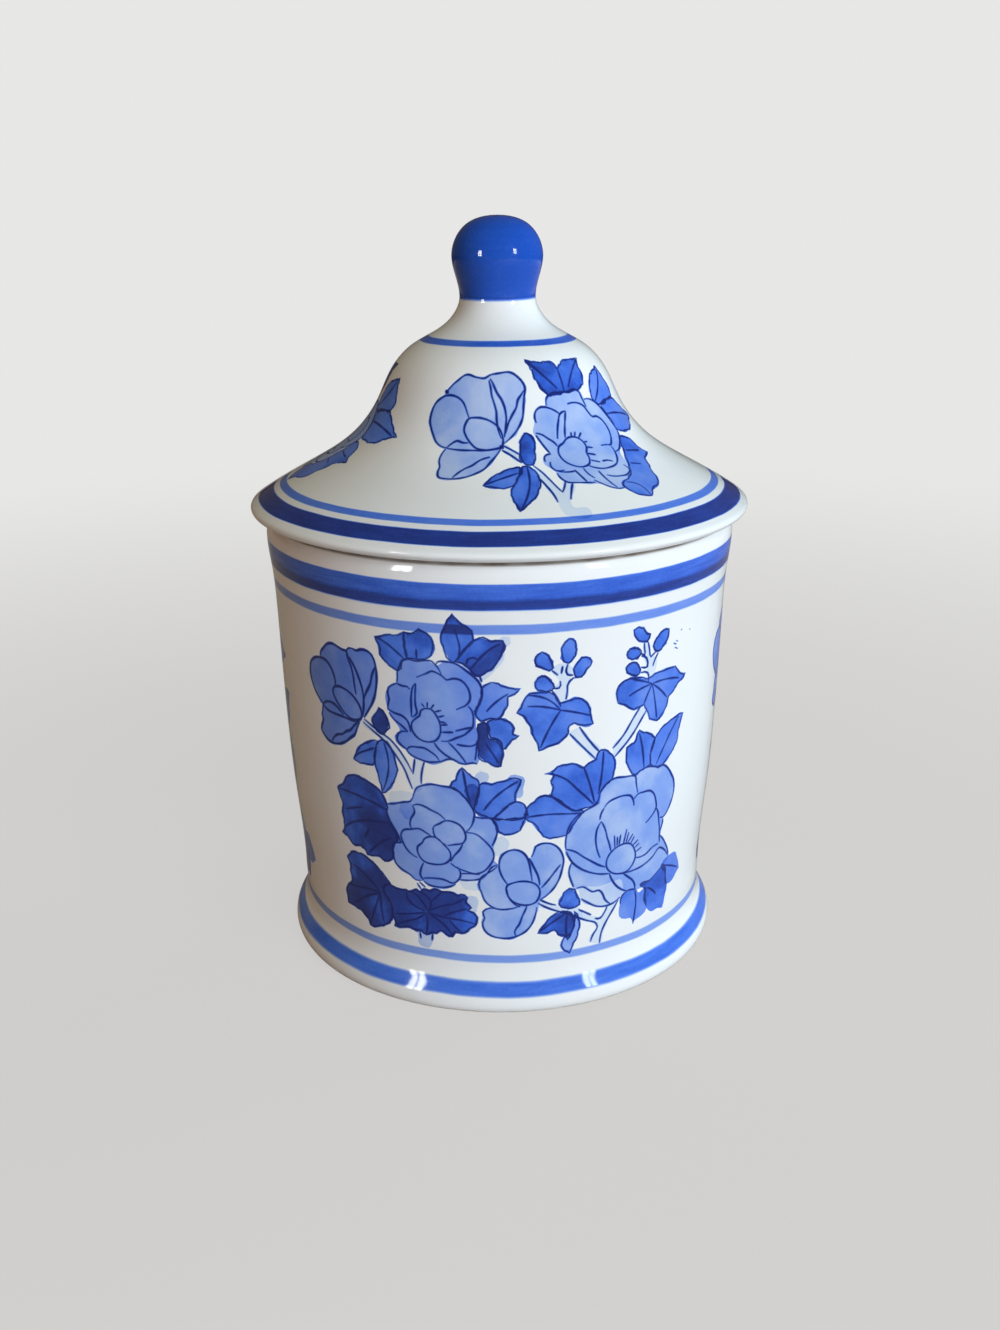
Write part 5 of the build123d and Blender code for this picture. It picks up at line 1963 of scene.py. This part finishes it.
LIGHTS = (
    SoftBox("window", (0.73, -1.06, 0.47), (1.0, 1.0), 24.0, (0.76, 0.865, 0.97)),
    SoftBox("side_window", (1.0, 0.7, 0.35), (1.1, 1.1), 17.0, (0.68, 0.85, 1.0)),
    SoftBox("left_card", (-0.95, -0.6, 0.35), (1.2, 1.2), 1.8, (1.0, 0.42, 0.22)),
    SoftBox("back_card", (-0.6, 1.04, 0.45), (1.1, 1.1), 5.2, (1.0, 0.97, 0.93)),
    SoftBox("overhead", (-0.1, -0.1, 1.25), (1.0, 1.0), 1.6, (0.76, 1.0, 0.66)),
)
PANES = (
    SoftBox("left_pane", (-0.6, -0.6, 0.3), (0.055, 0.24), 1.0, (1.0, 0.98, 0.96), Lamp.GLINT),
    SoftBox("right_pane", (0.72, -0.7, 0.42), (0.055, 0.26), 1.1, (0.86, 0.94, 1.0), Lamp.GLINT),
)


@dataclass
class Studio:
    """Pale floor, soft light and the camera of the picture, in metres and degrees.

    The floor runs into the backdrop over the fade, and near the jar it has a share of the backdrop's
    glow. The camera's sensor is in millimetres.
    """

    eye: Place = (0.0, -0.3394, 0.18391)
    pitch: float = 18.848
    roll: float = -0.465
    yaw: float = 0.023
    focal_pixels: float = 1400.0
    long_side: float = 1330.0
    sensor: float = 36.0
    near: float = 0.01
    middle: Place = (0.0, 0.0, 0.09)
    pane_gap: float = 0.05
    ambient: Colour = (0.092, 0.072, 0.046)
    backdrop: Colour = (0.80, 0.80, 0.795)
    paper_shades: tuple[Colour, Colour] = ((0.34, 0.28, 0.225), (0.38, 0.315, 0.255))
    fade: Pair = (0.10, 0.7)
    glow: float = 0.7
    floor_size: float = 6.0
    floor_drop: float = 0.0001

    def floor(self) -> None:
        """Lay the floor."""
        bm = bmesh.new()
        bmesh.ops.create_grid(bm, x_segments=2, y_segments=2, size=self.floor_size)
        bmesh.ops.translate(bm, verts=bm.verts, vec=(0, 0, -self.floor_drop))
        mesh = bpy.data.meshes.new("floor")
        bm.to_mesh(mesh)
        bm.free()
        plane = bpy.data.objects.new("floor", mesh)
        mesh.materials.append(self.paper())
        bpy.context.scene.collection.objects.link(plane)

    def paper(self) -> bpy.types.Material:
        """Pale paper that the camera sees run into the backdrop further off.

        Returns:
            The material.
        """
        net = Net(bpy.data.materials.new("floor_paper"))
        where = net.places()
        shade = net.mix(net.noise(where, Cloud.PAPER), *self.paper_shades)
        paper = net.add("ShaderNodeBsdfDiffuse", {}, {"Color": shade})
        far = net.add("ShaderNodeEmission", {}, {"Color": self.backdrop})
        reach = net.add("ShaderNodeVectorMath", {"operation": "LENGTH"}, {0: where})
        away = Value(net, reach.outputs["Value"]).step(*self.fade)
        share = (self.glow + away * (1 - self.glow)) * net.seen()
        mixed = net.add("ShaderNodeMixShader", {}, {0: share, 1: paper.outputs[0], 2: far.outputs[0]})
        net.add("ShaderNodeOutputMaterial", {}, {"Surface": mixed.outputs[0]})
        return net.owner

    def world(self) -> None:
        """Fill the room with a dim warm light, and show a pale backdrop."""
        net = Net(bpy.data.worlds.new("room"))
        fill = net.add("ShaderNodeBackground", {}, {"Color": self.ambient})
        back = net.add("ShaderNodeBackground", {}, {"Color": self.backdrop})
        sockets = {0: net.seen(), 1: fill.outputs[0], 2: back.outputs[0]}
        mixed = net.add("ShaderNodeMixShader", {}, sockets)
        net.add("ShaderNodeOutputWorld", {}, {"Surface": mixed.outputs[0]})
        bpy.context.scene.world = net.owner

    def lamps(self) -> None:
        """Set the window light on the right, the cards round the jar and the small glints."""
        for lamp in LIGHTS:
            lamp.hang(self.middle)
        for aside in (-self.pane_gap, self.pane_gap):
            for pane in PANES:
                pane.hang(self.middle, aside)

    def camera(self) -> None:
        """Set the camera where the picture was taken from."""
        data = bpy.data.cameras.new("picture")
        data.sensor_width = self.sensor
        data.sensor_fit = "AUTO"
        data.lens = self.focal_pixels * self.sensor / self.long_side
        data.clip_start = self.near
        camera = bpy.data.objects.new("picture", data)
        turn = Matrix.Rotation(math.radians(self.yaw), 3, "Z")
        tilt = Matrix.Rotation(math.radians(90 - self.pitch), 3, "X")
        lean = Matrix.Rotation(math.radians(self.roll), 3, "Z")
        camera.location = self.eye
        camera.rotation_euler = (turn @ tilt @ lean).to_euler()
        bpy.context.scene.collection.objects.link(camera)
        bpy.context.scene.camera = camera


def main() -> None:
    """Build, dress and light the jar."""
    logging.basicConfig(level=logging.INFO, format="%(message)s")
    for maker in (JarBody(), BellLid(), BallKnob()):
        piece = maker.build()
        maker.dress(piece)
        triangles = sum(len(face.vertices) - 2 for face in piece.data.polygons)
        LOG.info("%s: %d triangles", piece.name, triangles)
    studio = Studio()
    studio.floor()
    studio.world()
    studio.lamps()
    studio.camera()
    bpy.context.scene.view_settings.view_transform = "Standard"


if __name__ == "__main__":
    main()
